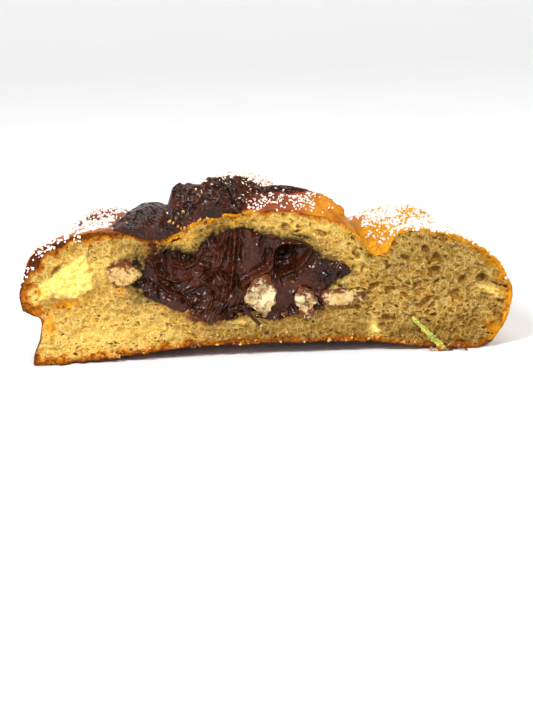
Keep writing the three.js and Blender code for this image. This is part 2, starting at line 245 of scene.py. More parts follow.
class Space:
    """Sample points in a box: evenly spaced in x and z, and finer towards the cut in y."""

    REACH = 3.0  # distances are kept up to this

    def __init__(self, low, high, voxel, fine_depth, growth=0.02, coarsest=0.6):
        self.xs = np.arange(low[0], high[0], voxel)
        self.zs = np.arange(low[2], high[2], voxel)
        ys, step = [low[1]], voxel
        while ys[-1] < high[1]:
            if ys[-1] > fine_depth:
                step = min(step * (1 + growth), max(coarsest, voxel))
            ys.append(ys[-1] + step)
        self.ys = np.array(ys)
        self.axes = (self.xs, self.ys, self.zs)
        self.shape = tuple(len(axis) for axis in self.axes)
        self.x = self.xs[:, None, None].astype(np.float32)
        self.y = self.ys[None, :, None].astype(np.float32)
        self.z = self.zs[None, None, :].astype(np.float32)

    def noise(self, size, seed):
        """Smooth noise of about -1 to 1; `size` is one feature size or one for each axis."""
        sizes = (size,) * 3 if np.isscalar(size) else size
        weights = [smooth_weights(axis, s) for axis, s in zip(self.axes, sizes)]
        values = np.random.default_rng(seed).standard_normal([w.shape[1] for w in weights])
        return mix_axes(values.astype(np.float32), weights) * 1.6

    def face_noise(self, size, seed):
        """The same, over x and z alone."""
        sizes = (size,) * 2 if np.isscalar(size) else size
        weights = [smooth_weights(self.xs, sizes[0]), smooth_weights(self.zs, sizes[1])]
        values = np.random.default_rng(seed).standard_normal([w.shape[1] for w in weights])
        return mix_axes(values.astype(np.float32), weights) * 1.3

    def sample(self, field, points):
        """The field's values at points, by linear interpolation."""
        corners, shares = [], []
        for axis, coords in zip(self.axes, points.T):
            place = np.interp(coords, axis, np.arange(len(axis)))
            i = np.minimum(place.astype(int), len(axis) - 2)
            corners.append(i)
            shares.append(place - i)
        i, j, k = corners
        return blend_corners(shares, lambda a, b, c: field[i + a, j + b, k + c])

    def sample_face(self, values, points):
        """The same for values that are kept over x and z alone."""
        return self.sample(values[:, None, :] + np.zeros_like(self.y), points)

    def surface(self, field):
        """Points and four-sided faces of the surface where the field is 0; it is negative inside."""
        grid = vdb.FloatGrid(self.REACH)
        kept = np.clip(field, -self.REACH, self.REACH)
        grid.copyFromArray(np.ascontiguousarray(kept, np.float32))
        points, faces = grid.convertToQuads(0.0)
        places = [np.interp(points[:, k], np.arange(len(axis)), axis) for k, axis in enumerate(self.axes)]
        return np.stack(places, axis=1), faces


# ---------------------------------------------------------------- the bun's crust
def section_point(t, angle):
    """Point of the crust's section at share t of its length, blended between left, back and right."""
    side = np.cos(angle)[..., None]
    left = np.maximum(0, -side) ** SIDE_SPREAD
    right = np.maximum(0, side) ** SIDE_SPREAD
    back = spline(BACK_SECTION, t) * (1 - left - right)
    return back + spline(LEFT_SECTION, t) * left + spline(RIGHT_SECTION, t) * right


def swell(form, x, y):
    """Height of a swelling of the top."""
    mid_x, mid_y, height, half_x, half_y, power = form
    return height * np.exp(-(np.abs((x - mid_x) / half_x) ** power)) * bell((y - mid_y) / half_y)


def groove(form, x, y):
    """Height, below 0, of a groove that runs back from the cut."""
    start, slant, height, half_width, reach = form
    return height * bell((x - start - slant * np.abs(y)) / half_width) * bell(y / reach)


def bone_height(bone, along, across):
    """Height of a ridge with knuckles, at places along and across it."""
    _, start, knuckles = bone
    height, width = 0, BONE_NECK
    for place, size in knuckles:
        knuckle = near(along, place, KNUCKLE_HALF_LENGTH)
        height = height + size * knuckle
        width = width + (1 - BONE_NECK) * knuckle
    height = np.maximum(height, BONE_NECK * knuckles[-1][1])
    ends = smoothstep(start - 12, start, along) * (1 - smoothstep(BONE_FOOT - 8, BONE_FOOT, along))
    half_width = BONE_HALF_WIDTH * (0.75 + 0.25 * np.minimum(1, width))
    return height * ends * np.exp(-(np.abs(across / half_width) ** BONE_POWER))


def crust_relief(x, y, z, run):
    """How far the crust stands out of its smooth sections."""
    angle = np.arctan2(np.abs(y), x)
    raised = swell(HUMP, x, y)
    for bone in BONES:
        turn = angle - math.radians(bone[0])
        raised = np.maximum(raised, bone_height(bone, run * np.cos(turn), np.hypot(x, y) * np.sin(turn)))
    knob_x, knob_y, radius, height = KNOB
    from_knob = np.hypot(x - knob_x, np.abs(y) - knob_y) / radius
    knob = height * np.sqrt(np.maximum(0, 1 - from_knob**2.6))
    crown = np.maximum(np.maximum(swell(LEFT_SHOULDER, x, y), swell(RIGHT_SHOULDER, x, y)), knob)
    wave = 0.55 * lattice_noise(x / 13, y / 13, z / 13 + 5) + 0.22 * lattice_noise(x / 2.7, y / 2.7, z / 2.7)
    return raised + crown + groove(CREASE, x, y) + groove(LEFT_DIP, x, y) + wave


def tube_faces(rows, turns):
    """Four-sided faces of rows of points that close round on themselves."""
    i, j = np.meshgrid(np.arange(rows - 1), np.arange(turns), indexing="ij")
    after = (j + 1) % turns
    corners = [i * turns + j, (i + 1) * turns + j, (i + 1) * turns + after, i * turns + after]
    return np.stack(corners, axis=-1).reshape(-1, 4)


def bun_surface(rows=240, turns=480):
    """Points and faces of the whole bun's crust."""
    t = np.linspace(0, 1, rows)[:, None] + np.zeros(turns)
    angle = np.linspace(0, 2 * math.pi, turns, endpoint=False)[None, :] + np.zeros((rows, 1))
    here = section_point(t, angle)
    slope = section_point(np.minimum(1, t + 1e-3), angle) - section_point(np.maximum(0, t - 1e-3), angle)
    radial = np.sqrt(1 - smoothstep(3, 0, here[..., 0])) * -slope[..., 1]
    out = np.stack([radial * np.cos(angle), radial * np.sin(angle), slope[..., 0]], axis=-1)
    out /= np.linalg.norm(out, axis=-1, keepdims=True)
    x, y, z = here[..., 0] * np.cos(angle), here[..., 0] * np.sin(angle), here[..., 1]
    upper = 1 - smoothstep(TOP_END, TOP_END + 0.12, t)
    run = here[..., 0] + np.maximum(0, 27 - z) * 0.8
    points = np.stack([x, y, z], axis=-1) + out * (upper * crust_relief(x, y, z, run))[..., None]
    return points.reshape(-1, 3).astype(np.float32), tube_faces(rows, turns).astype(np.uint32)


class Bun:
    """Distance from the bun's crust, positive outside, kept on an even grid."""

    STEP = 0.5
    LOW = np.array([-66.0, -6.0, -4.0])
    HIGH = np.array([68.0, 66.0, 52.0])

    def __init__(self):
        points, faces = bun_surface()
        scale = vdb.createLinearTransform(voxelSize=self.STEP)
        level = vdb.FloatGrid.createLevelSetFromPolygons(points, quads=faces, transform=scale, halfWidth=18.0)
        shape = ((self.HIGH - self.LOW) / self.STEP).astype(int) + 1
        self.values = np.zeros(shape, np.float32)
        level.copyToArray(self.values, ijk=tuple(int(v) for v in self.LOW / self.STEP))

    def on(self, space):
        """The distance at all the points of a space."""
        weights = []
        for k in range(3):
            place = (space.axes[k] - self.LOW[k]) / self.STEP
            i = np.clip(place.astype(int), 0, self.values.shape[k] - 2)
            rows = np.arange(len(place))
            matrix = np.zeros((len(place), self.values.shape[k]), np.float32)
            matrix[rows, i] = 1 - (place - i)
            matrix[rows, i + 1] = place - i
            weights.append(matrix)
        return mix_axes(self.values, weights)


# ---------------------------------------------------------------- mesh making
def add_mesh(name, points, faces, material, attributes=None, smooth=True):
    """A piece from points in the bun's frame, in millimetres. Faces all have the same number of corners."""
    points = (np.asarray(points, float) + ORIGIN) / 1000
    sides = faces.shape[1]
    mesh = bpy.data.meshes.new(name)
    mesh.vertices.add(len(points))
    mesh.vertices.foreach_set("co", points.astype(np.float32).ravel())
    mesh.loops.add(faces.size)
    mesh.loops.foreach_set("vertex_index", faces.astype(np.int32).ravel())
    mesh.polygons.add(len(faces))
    mesh.polygons.foreach_set("loop_start", np.arange(0, faces.size, sides, dtype=np.int32))
    mesh.update(calc_edges=True)
    mesh.polygons.foreach_set("use_smooth", np.full(len(faces), smooth))
    for key, values in (attributes or {}).items():
        layer = mesh.attributes.new(key, "FLOAT", "POINT")
        layer.data.foreach_set("value", np.asarray(values, np.float32))
    mesh.materials.append(material)
    piece = bpy.data.objects.new(name, mesh)
    bpy.context.scene.collection.objects.link(piece)
    return piece


def normals_of(points, faces):
    """Unit normals of the points of a mesh of four-sided faces."""
    a, b, c, d = (points[faces[:, k]] for k in range(4))
    across = np.cross(c - a, d - b)
    total = np.zeros_like(points)
    for k in range(4):
        for axis in range(3):
            total[:, axis] += np.bincount(faces[:, k], across[:, axis], len(points))
    return total / np.maximum(np.linalg.norm(total, axis=1, keepdims=True), 1e-9)


# ---------------------------------------------------------------- materials
def linear(colour):
    """A colour of 0 to 255, as seen on a screen, to linear light."""
    share = np.array(colour, float) / 255
    return tuple(np.where(share <= 0.04045, share / 12.92, ((share + 0.055) / 1.055) ** 2.4)) + (1.0,)


class Look:
    """A material under construction, with short names for the nodes it uses.

    Colours are given as three numbers of 0 to 255, as seen on a screen, and sizes in millimetres.
    """

    def __init__(self, name):
        self.material = bpy.data.materials.new(name)
        self.material.use_nodes = True
        self.nodes = self.material.node_tree.nodes
        self.links = self.material.node_tree.links
        self.shader = self.nodes["Principled BSDF"]
        self.place = self.node("TexCoord", {})["Object"]

    def plug(self, socket, value):
        if isinstance(value, bpy.types.NodeSocket):
            self.links.new(value, socket)
        else:
            socket.default_value = linear(value) if isinstance(value, tuple) else value

    def set(self, **values):
        for key, value in values.items():
            self.plug(self.shader.inputs[key.replace("_", " ")], value)

    def node(self, kind, inputs, **settings):
        """The outputs of a new node with its settings and inputs in place."""
        node = self.nodes.new("ShaderNode" + kind)
        for key, value in settings.items():
            setattr(node, key, value)
        for key, value in inputs.items():
            self.plug(node.inputs[key], value)
        return node.outputs

    def attribute(self, name):
        return self.node("Attribute", {}, attribute_name=name)["Fac"]

    def noise(self, size, detail=2.0, roughness=0.5, output="Fac"):
        inputs = {"Vector": self.place, "Scale": 1000 / size, "Detail": detail, "Roughness": roughness}
        return self.node("TexNoise", inputs)[output]

    def cells(self, size, wobble):
        """0 on the walls between rounded cells, rising to about 0.5 in the middle of each."""
        shift = {0: self.noise(size, output="Color"), 1: [wobble / 1000] * 3, 2: self.place}
        place = self.node("VectorMath", shift, operation="MULTIPLY_ADD")[0]
        inputs = {"Vector": place, "Scale": 1000 / size}
        return self.node("TexVoronoi", inputs, feature="DISTANCE_TO_EDGE")["Distance"]

    def math(self, operation, a, b=0.0, clamp=False):
        return self.node("Math", {0: a, 1: b}, operation=operation, use_clamp=clamp)[0]

    def between(self, value, low, high, start=0.0, end=1.0):
        """`value` carried from low..high to start..end, smoothly and without going past them."""
        inputs = {"Value": value, "From Min": low, "From Max": high, "To Min": start, "To Max": end}
        return self.node("MapRange", inputs, interpolation_type="SMOOTHSTEP")["Result"]

    def mix(self, share, a, b, blend="MIX"):
        return self.node("Mix", {"Factor": share, 6: a, 7: b}, data_type="RGBA", blend_type=blend)[2]

    def blend(self, value, span, a, b):
        """From a to b as `value` goes through a span."""
        return self.mix(self.between(value, *span), a, b)

    def bump(self, height, distance, strength=1.0, under=None):
        inputs = {"Height": height, "Distance": distance / 1000, "Strength": strength}
        if under:
            inputs["Normal"] = under
        return self.node("Bump", inputs)["Normal"]


MOTTLE = (0.35, 0.65)  # the middle part of a noise's range
BREAD_MARKS = ("inner", "browning", "bake", "hollow", "soak", "smear", "pale", "dust", "painted_light_and_tone", "ember")
# The bread's colours. The two of a pair are mixed by grain, painted light, bake or cell, as said further
# down.
# Shaded and lit copies of the crumb: painted light and shade, partly also the crumb's own darker and paler
# tone.
SHADED_CRUMB = (172, 141, 70), (190, 163, 98)
LIT_CRUMB = (214, 177, 80), (227, 197, 110)
# Pits of the cells: painted shade, partly the browner crumb inside them, in shaded and lit copies.
WIDE_CELL_SHADE = (136, 94, 10), (176, 124, 20)
SMALL_CELL_SHADE = (146, 100, 12), (188, 134, 26)
# Painted shade where the crumb lies deeper behind the cut.
HOLLOW_SHADE = (132, 84, 6)
# Pale fibres of the crumb, lightened further as painted highlights.
STRAND_HIGHLIGHT = (222, 196, 132), (250, 228, 156)
# Painted shade, multiplied into the crumb low on the cut.
LOW_PAINTED_SHADE = (214, 208, 190)
FLAP_CRUMB = (255, 226, 124), (232, 190, 88)
# The same painted highlights on the flap's fibres.
FLAP_STRAND_HIGHLIGHT = (255, 244, 178)
AMBER = (255, 206, 80), (244, 164, 56)
GOLD = (230, 158, 24)
SHELL = (62, 26, 4), (148, 74, 4)
EDGE = (204, 130, 14), (74, 30, 6)
EMBER = (255, 190, 24), (232, 140, 6)
STAIN = (92, 44, 20)
SOAKED_CRUMB = (34, 25, 12)
GILT = (196, 130, 14), (230, 168, 34)
TAN, BROWN, DARK_BROWN = (184, 116, 14), (136, 60, 16), (78, 30, 8)
FLAKE = (96, 42, 12)
POWDER = (238, 214, 192)


def crumb_colour(look, mark, grain, in_wide, in_small, strands):
    """Cut crumb with its cells, browned towards the crust, stained by chocolate and darkened where it soaks
    in. Light and shade are painted into it too.
    """
    painted_light_and_tone, bake = mark["painted_light_and_tone"], mark["bake"]
    # Painted light and shade: lit and shaded crumb, mixed by where the cut is painted lighter, partly the
    # crumb's own tone.
    base = look.mix(painted_light_and_tone, look.blend(grain, MOTTLE, *SHADED_CRUMB), look.blend(grain, MOTTLE, *LIT_CRUMB))
    # Painted shade in the pits of the cells, partly their browner crumb.
    for inside, dim, lit, colours in ((in_wide, 0.74, 0.42, WIDE_CELL_SHADE), (in_small, 0.42, 0.5, SMALL_CELL_SHADE)):
        share = look.math("MULTIPLY", inside, look.between(painted_light_and_tone, 0.2, 1, dim, lit))
        base = look.mix(share, base, look.mix(painted_light_and_tone, *colours))
    # Painted shade, deeper behind the cut.
    base = look.mix(look.between(mark["hollow"], 0, 1, 0, 0.75), base, HOLLOW_SHADE)
    # Pale torn fibres, lightened as painted highlights.
    share = look.math("MULTIPLY", strands, look.between(painted_light_and_tone, 0.2, 1, 0.4, 0.6))
    base = look.mix(share, base, look.mix(painted_light_and_tone, *STRAND_HIGHLIGHT))
    # Painted shade: the crumb darkened low down on the cut.
    base = look.mix(look.between(painted_light_and_tone, -1, 0, 1, 0), base, LOW_PAINTED_SHADE, "MULTIPLY")
    flap = look.blend(grain, (0.35, 0.6), *FLAP_CRUMB)
    # Painted highlights on the flap's fibres.
    flap = look.mix(look.math("MULTIPLY", strands, 0.7), flap, FLAP_STRAND_HIGHLIGHT)
    base = look.mix(mark["pale"], base, flap)

    patchy = look.between(look.noise(3.2, 2), *MOTTLE, -0.3, 0.12)
    gold = look.math("ADD", mark["browning"], patchy, clamp=True)
    gold = look.math("ADD", gold, look.between(grain, 0.3, 0.7, -0.2, 0.15), clamp=True)
    base = look.mix(look.between(gold, 0.05, 0.5), base, look.blend(bake, (0.3, 0.8), *AMBER), "MULTIPLY")
    base = look.mix(look.between(gold, 0.3, 0.8, 0, 0.5), base, GOLD)
    brown = look.math("MULTIPLY", gold, look.between(bake, 0.1, 0.7, 0.3, 1.2), clamp=True)
    base = look.mix(look.between(brown, 0.4, 0.75, 0, 0.85), base, look.mix(in_wide, *SHELL))
    edge = look.blend(bake, (0.1, 0.7), *EDGE)
    base = look.mix(look.between(mark["browning"], 0.8, 0.95, 0, 0.92), base, edge)

    # Orange crumb; under the flap this is painted amber shade.
    base = look.mix(mark["ember"], base, look.blend(grain, (0.3, 0.6), *EMBER))
    stain = look.math("MULTIPLY", mark["smear"], look.between(grain, 0.35, 0.55, 0.35, 1.4), clamp=True)
    base = look.mix(stain, base, STAIN)
    blot = look.math("MULTIPLY", mark["soak"], look.between(grain, 0.3, 0.6, 0.45, 1.5), clamp=True)
    return look.mix(blot, base, SOAKED_CRUMB)


def skin_colour(look, mark, grain, fine):
    """Crust from pale gold to dark brown, flaked and powdered with sugar."""
    patches = look.between(look.noise(9, 2), 0.3, 0.7, -0.14, 0.14)
    tone = look.math("ADD", mark["bake"], patches, clamp=True)
    base = look.blend(tone, (0, 0.35), look.blend(grain, MOTTLE, *GILT), TAN)
    base = look.blend(tone, (0.3, 0.68), base, BROWN)
    base = look.blend(tone, (0.68, 1), base, DARK_BROWN)
    base = look.mix(look.between(fine, 0.5, 0.8, 0, 0.35), base, FLAKE)
    gaps = look.between(look.noise(0.45, 3, 0.7), 0.3, 0.7, 0.2, 1.1)
    powder = look.math("SUBTRACT", mark["dust"], gaps, clamp=True)
    return look.mix(look.between(powder, 0, 0.2, 0, 0.85), base, POWDER)


def bread_look():
    """Crumb where the bread is cut, and crust elsewhere."""
    look = Look("bread")
    mark = {key: look.attribute(key) for key in BREAD_MARKS}
    fine, grain = look.noise(0.5, 3, 0.6), look.noise(1.3, 3, 0.6)
    wide_cells, small_cells = look.cells(1.7, 1.5), look.cells(0.75, 0.7)
    in_wide, in_small = look.between(wide_cells, 0.02, 0.16), look.between(small_cells, 0.04, 0.22)
    ridge = look.math("ABSOLUTE", look.math("SUBTRACT", look.noise(2.0, 4, 0.6), 0.5))
    strands = look.between(ridge, 0, 0.03, 1, 0)
    crumb = crumb_colour(look, mark, grain, in_wide, in_small, strands)
    base = look.mix(mark["inner"], skin_colour(look, mark, grain, fine), crumb)

    normal = look.bump(look.noise(0.35, 3, 0.6), 0.2, 0.6)
    wide_walls, small_walls = (look.between(cells, 0, 0.3, 1, 0) for cells in (wide_cells, small_cells))
    for web, distance, strength in ((wide_walls, 0.3, 0.6), (small_walls, 0.15, 0.6), (strands, 0.2, 0.7)):
        normal = look.bump(look.math("MULTIPLY", web, mark["inner"]), distance, strength, normal)
    golden = look.math("MULTIPLY", look.between(mark["bake"], 0.35, 0.1), look.noise(1.4, 4, 0.65))
    look.set(Base_Color=base, Normal=look.bump(golden, 1.0, 1.0, normal))
    look.set(Roughness=look.between(mark["inner"], 0.2, 0.9, 0.3, 0.85))
    look.set(Specular_IOR_Level=0.12, Subsurface_Weight=0.1, Subsurface_Scale=0.0008)
    look.shader.inputs["Subsurface Radius"].default_value = (1.0, 0.6, 0.3)
    return look.material


def chocolate_look(name, dark, light, flecks, relief):
    """Glossy chocolate with a painted highlight along the crests of folds, and dark spots that are partly
    painted shade; `flecks` says how strongly lighter bits show, and `relief` how rough it is.
    """
    look = Look(name)
    fine = look.noise(0.8, 4, 0.65)
    base = look.blend(look.noise(5, 3), MOTTLE, dark, light)
    base = look.mix(look.between(fine, 0.52, 0.75, 0, flecks), base, (110, 54, 26))
    # Painted highlight along the crests of the folds.
    ridge = look.math("MULTIPLY", look.attribute("painted_crest_highlight"), look.between(fine, 0.45, 0.62, 0, 0.75))
    base = look.mix(ridge, base, (98, 48, 26))
    # Dark spots of soaked chocolate, and painted shade in the cave.
    base = look.mix(look.attribute("soaked_and_shaded"), base, (20, 11, 7))
    normal = look.bump(look.noise(0.85, 0), 0.3, relief, look.bump(look.noise(2.4, 0), 0.5, 0.8))
    look.set(Base_Color=base, Normal=normal)
    look.set(Roughness=look.between(look.noise(2.2, 3), 0.35, 0.7, 0.07, 0.18), Specular_IOR_Level=0.22)
    return look.material


def cream_look():
    look = Look("whipped_cream")
    base = look.blend(look.noise(2.4, 2), MOTTLE, (202, 189, 148), (168, 138, 88))
    base = look.mix(look.attribute("yellow"), base, (186, 146, 72))
    smear = look.math("SUBTRACT", look.attribute("stain"), look.noise(1.0, 4, 0.7))
    base = look.blend(smear, (-0.1, 0.1), base, (88, 42, 16))
    look.set(Base_Color=base, Normal=look.bump(look.noise(0.6, 3), 0.2, 0.8), Roughness=0.4)
    look.set(Specular_IOR_Level=0.2, Subsurface_Weight=0.12, Subsurface_Scale=0.001)
    return look.material


def sugar_look():
    look = Look("sugar")
    base = look.blend(look.noise(2.2, 2), MOTTLE, (246, 232, 222), (232, 210, 198))
    look.set(Base_Color=base, Roughness=look.between(look.noise(0.4, 2), 0.3, 0.7, 0.15, 0.4))
    look.set(Specular_IOR_Level=0.6)
    return look.material


def mottled_look(name, patches, span, colours, relief, height, roughness, spotted=None):
    """Two mottled colours on a rough surface, with spots of a third colour where asked for."""
    look = Look(name)
    base = look.blend(look.noise(*patches), span, *colours)
    if spotted:
        texture, low, high, share, colour = spotted
        base = look.mix(look.between(look.noise(*texture), low, high, 0, share), base, colour)
    look.set(Base_Color=base, Normal=look.bump(look.noise(*relief), height), Roughness=roughness)
    return look.material


def crumbs_look():
    colours, spotted = ((212, 160, 78), (160, 92, 26)), ((2.6, 1), 0.52, 0.6, 1, (96, 46, 12))
    return mottled_look("crumbs", (1.8, 1), (0.4, 0.6), colours, (0.3, 2), 0.12, 0.8, spotted)


def flecks_look():
    colours = (250, 240, 190), (230, 208, 124)
    return mottled_look("flecks", (0.8, 2), (0.4, 0.6), colours, (0.3, 2), 0.08, 0.5)


def peel_look():
    colours, spotted = ((162, 156, 40), (108, 108, 14)), ((0.5, 3), 0.52, 0.66, 0.8, (216, 202, 110))
    return mottled_look("peel", (0.9, 3), MOTTLE, colours, (0.5, 3), 0.15, 0.45, spotted)


# ---------------------------------------------------------------- the bread
# Soft spots on the cut face: x, z, half width, half height, lean, strength.
PALE_SPOTS = [
    (-38, 25, 4, 2.4, 0.2, 0.4), (-6, 9.4, 4, 0.7, 0.0, 0.5), (27.8, 5.8, 1.3, 2.6, -1.0, 1.0),
    (57.2, 14.8, 3.4, 1.1, -0.45, 1.0), (22.3, 15.7, 1.7, 1.2, 0.2, 1.0), (20, 19.5, 4.5, 1.6, 0.9, 0.6),
    (-57, 17.5, 1.8, 2.4, 0, 0.6), (33, 2.6, 3.5, 0.6, -0.1, 0.6),
]
# Where the cut is painted lighter: partly painted light, partly paler crumb.
PAINTED_LIGHT_SPOTS = [
    (-42, 6.5, 24, 8, 0.05, 1.0), (-46, 22, 10, 9, 0.1, 0.8), (8, 33, 16, 3, -0.1, 0.9),
    (-20, 31, 6, 3, 0, 0.6), (22, 25, 6, 4, -0.6, 0.5),
]
# Orange spots of crumb; the first, in the cavity under the flap, is painted shade, amber as that shadow
# looks.
EMBER_SPOTS = [
    (-50, 15.6, 3.6, 0.9, 0.1, 1.0), (-54.2, 10.4, 1.2, 2.8, 0.6, 0.8), (-35.5, 19.5, 0.8, 1.4, 0, 0.6),
    (57.2, 5.9, 1.7, 1.2, 0.3, 0.6), (-21, 31.5, 4.5, 1.0, 0.1, 0.55), (-6, 35.4, 4.5, 0.5, 0.3, 0.6),
]
SOAKED_SPOTS = [
    (-31.2, 23, 3.2, 5.8, 0.0, 1.0), (-12, 32, 5.5, 1.6, 0.75, 0.75), (16.4, 21.2, 2.8, 3.2, -0.5, 1.0),
    (9.5, 30.8, 4, 0.8, -0.35, 0.7), (-22.5, 28.0, 4.5, 1.5, -0.2, 0.9),
]
SMEARED_SPOTS = [
    (14, 14.2, 1.7, 3.4, 0.0, 1.0), (-15.5, 10.6, 5.2, 1.5, -0.15, 1.0), (-33.5, 26.2, 3.4, 1.0, -0.1, 0.9),
    (-26.6, 29.8, 2.4, 3.2, 0.0, 1.0), (3.0, 10.6, 5.5, 1.1, 0.05, 0.8), (37.5, 13.6, 1.1, 0.5, -0.3, 0.9),
    (19, 12.2, 3.5, 0.7, 0.0, 0.5), (-25.5, 12.5, 0.9, 0.5, 0.0, 0.9), (-13, 34.0, 3.5, 0.6, 0.35, 0.6),
]
# Hollows and bulges of the cut: depth, x, z, half width and half height.
CUT_HOLLOWS = [
    (-0.5, -46, 21, 12, 8), (2.4, -51, 14.8, 5.5, 1.5), (0.8, -41, 20, 3, 5), (1.1, 52, 17, 8, 6),
    (0.7, 5, 6, 40, 5),
]
# Outline of a torn flap of crumb that stands out of the cut near the left end, and how far it does.
FLAP = [
    (-57, 16.6), (-56, 20.9), (-52.3, 24), (-48.5, 26.1), (-44.2, 28.2), (-42.6, 24.8), (-42.6, 20.9),
    (-45.5, 17), (-52, 17.8),
]
FLAP_HEIGHT = 1.2
PALE_HEIGHT = 0.8  # how far the pale spots stand out
# How far the bread runs into the filling's lens and into the lumps of cream.
FILLING_OVERLAP = 0.7
CREAM_OVERLAP = 0.5
CUT_DEPTH = (4.5, 6)  # the look of cut crumb fades out between these depths behind the cut


def flap_share(x, z):
    """1 on the flap and 0 off it, with a ragged edge."""
    ragged = 0.5 * lattice_noise(x / 1.1, 2, z / 0.9) + 0.7 * lattice_noise(x / 2.6, 6, z / 2.2)
    return smoothstep(0.3, -1.0, outline_distance(closed_outline(FLAP, 4), x, z) + ragged)


def crumb_relief(x, z):
    """How far behind the cut the crumb lies, with the torn places of the photo's cut."""
    pores = lattice_noise(x / 3.1, 4, z / 2.3) * 0.35 + lattice_noise(x / 1.9, 9, z / 1.6) * 0.3
    depth = 0.5 + pores
    for hollow, mid_x, mid_z, half_x, half_z in CUT_HOLLOWS:
        depth = depth + hollow * near(x, mid_x, half_x) * near(z, mid_z, half_z)
    return depth


def filling_distance(space, grow=0.0):
    """Rough distance from the filling's lens, positive outside."""
    step, reach = 0.3, 45
    x, z = space.xs - FILLING_CENTRE[0], space.zs - FILLING_CENTRE[1]
    steps = np.arange(-reach, reach, step)
    edge = closed_outline(FILLING_OUTLINE)
    flat = outline_distance(edge, steps[:, None], steps[None, :]).astype(np.float32)
    field = np.full(space.shape, space.REACH, np.float32)
    for j, y in enumerate(space.ys):
        share = 1 - (y / (FILLING_DEPTH + grow)) ** 2
        if share <= 0.02:
            continue
        scale = share**0.4
        places = ((axis / scale - steps[0]) / step for axis in (x, z))
        i, k = (np.clip(place, 0, len(steps) - 1).round().astype(int) for place in places)
        field[:, j, :] = flat[i][:, k] * scale - grow
    return field


def lump_distance(space, lump, grow=0.0):
    """Rough distance from a lump of cream, positive outside."""
    x, z, half_x, half_z, depth = lump
    spread = ((space.x - x) / half_x) ** 2 + ((space.z - z) / half_z) ** 2 + (space.y / depth) ** 2
    return (np.sqrt(spread + 1e-6) - 1) * min(half_x, half_z) - grow


# Cells of the crumb: x from, x to, z from, z to, cells for each square mm of the cut, middle radius,
# flattening, and the depths between which their middles lie.
CELL_REGIONS = [
    (-60, 24, 5, 39, 1.5, 0.28, 0.6, -0.25, 0.4),
    (-58, 0, 6, 34, 0.06, 0.45, 0.5, -0.1, 0.5),
    (22, 62, 3, 31, 1.9, 0.3, 0.75, -0.25, 0.5),
    (22, 61, 4, 30, 0.4, 0.5, 0.7, -0.1, 0.4),
    (30, 60, 8, 28, 0.06, 0.9, 0.7, -0.1, 0.3),
    (-57, 57, 0.5, 6, 2.0, 0.3, 0.4, -0.25, 0.6),
    (-5, 22, 30, 36, 0.2, 0.5, 0.7, -0.1, 0.4),
]
# Single cells that stand out: x, z, half width, half height and lean.
LARGE_CELLS = [
    (5.9, 33.3, 1.4, 1.1, 0.0), (14.5, 31.4, 1.9, 0.8, -0.3), (50.0, 17.9, 1.1, 1.1, 0.2),
    (48.0, 14.6, 1.2, 0.8, 0.3), (43.4, 24.0, 1.1, 1.0, -0.2), (43.0, 20.7, 1.6, 1.1, 0.0),
    (40.6, 26.1, 1.2, 0.8, -0.3), (54.8, 17.9, 1.5, 1.4, 0.0), (38.9, 18.9, 1.0, 0.6, 0.2),
    (39.0, 11.7, 0.8, 0.7, 0.0), (57.3, 5.9, 1.5, 1.0, 0.3), (-47.5, 21.2, 1.2, 0.5, 0.5),
    (-42.5, 30.2, 0.7, 0.6, 0.0), (-14, 9.4, 1.0, 0.4, -0.3), (-28.5, 11, 0.8, 0.5, 0.2),
    (-51.5, 24.5, 1.3, 1.0, 0.6),
]


def stamp_cell(field, space, centre, radius, shape, lean):
    """Lowers the field where one egg-shaped cell is nearer than the cells before it."""
    reach = radius * max(shape) + 0.6
    ends = [np.searchsorted(axis, (c - reach, c + reach)) for axis, c in zip(space.axes, centre)]
    across, deep, high = (slice(*pair) for pair in ends)
    dx = space.x[across] - centre[0]
    dy = space.y[:, deep] - centre[1]
    dz = space.z[:, :, high] - centre[2] - lean * dx
    spread = np.sqrt((dx / shape[0]) ** 2 + (dy / shape[1]) ** 2 + (dz / shape[2]) ** 2)
    block = field[across, deep, high]
    np.minimum(block, spread - radius, out=block)


def stamp_cells(space, rng):
    """Distance from the nearest gas cell of the crumb just behind the cut, positive outside the cells."""
    field = np.full(space.shape, space.REACH, np.float32)
    for x0, x1, z0, z1, density, mean, flat, front, back in CELL_REGIONS:
        count = int((x1 - x0) * (z1 - z0) * density * (back - front))
        centres = rng.uniform((x0, front, z0), (x1, back, z1), (count, 3))
        centres[:, 1] += crumb_relief(centres[:, 0], centres[:, 2])
        radii = mean * np.exp(rng.normal(0, 0.3, count))
        shapes = rng.uniform((0.85, 0.85, 0.8 * flat), (1.5, 1.2, 1.2 * flat), (count, 3))
        for centre, radius, shape, lean in zip(centres, radii, shapes, rng.uniform(-0.6, 0.6, count)):
            stamp_cell(field, space, centre, radius, shape, lean)
    for x, z, half_x, half_z, lean in LARGE_CELLS:
        centre = (x, crumb_relief(x, z) + 0.15, z)
        stamp_cell(field, space, centre, 1.0, (half_x, 1.5 * min(half_x, half_z), half_z), lean)
    return field


def floor_height(x):
    """Height of the underside at the cut, which is arched."""
    line = np.array(LEFT_SECTION[:-5:-1])
    return np.maximum(np.interp(np.abs(x), line[:, 0], line[:, 1]), 0)


def crust_thickness(x, z):
    """How deep the browning goes at the cut."""
    ends = 0.5 * smoothstep(-10, -25, x) + 1.3 * smoothstep(-44, -56, x) + 1.1 * smoothstep(40, 58, x)
    return 0.85 + ends + 0.6 * smoothstep(3.5, 0.8, z - floor_height(x))


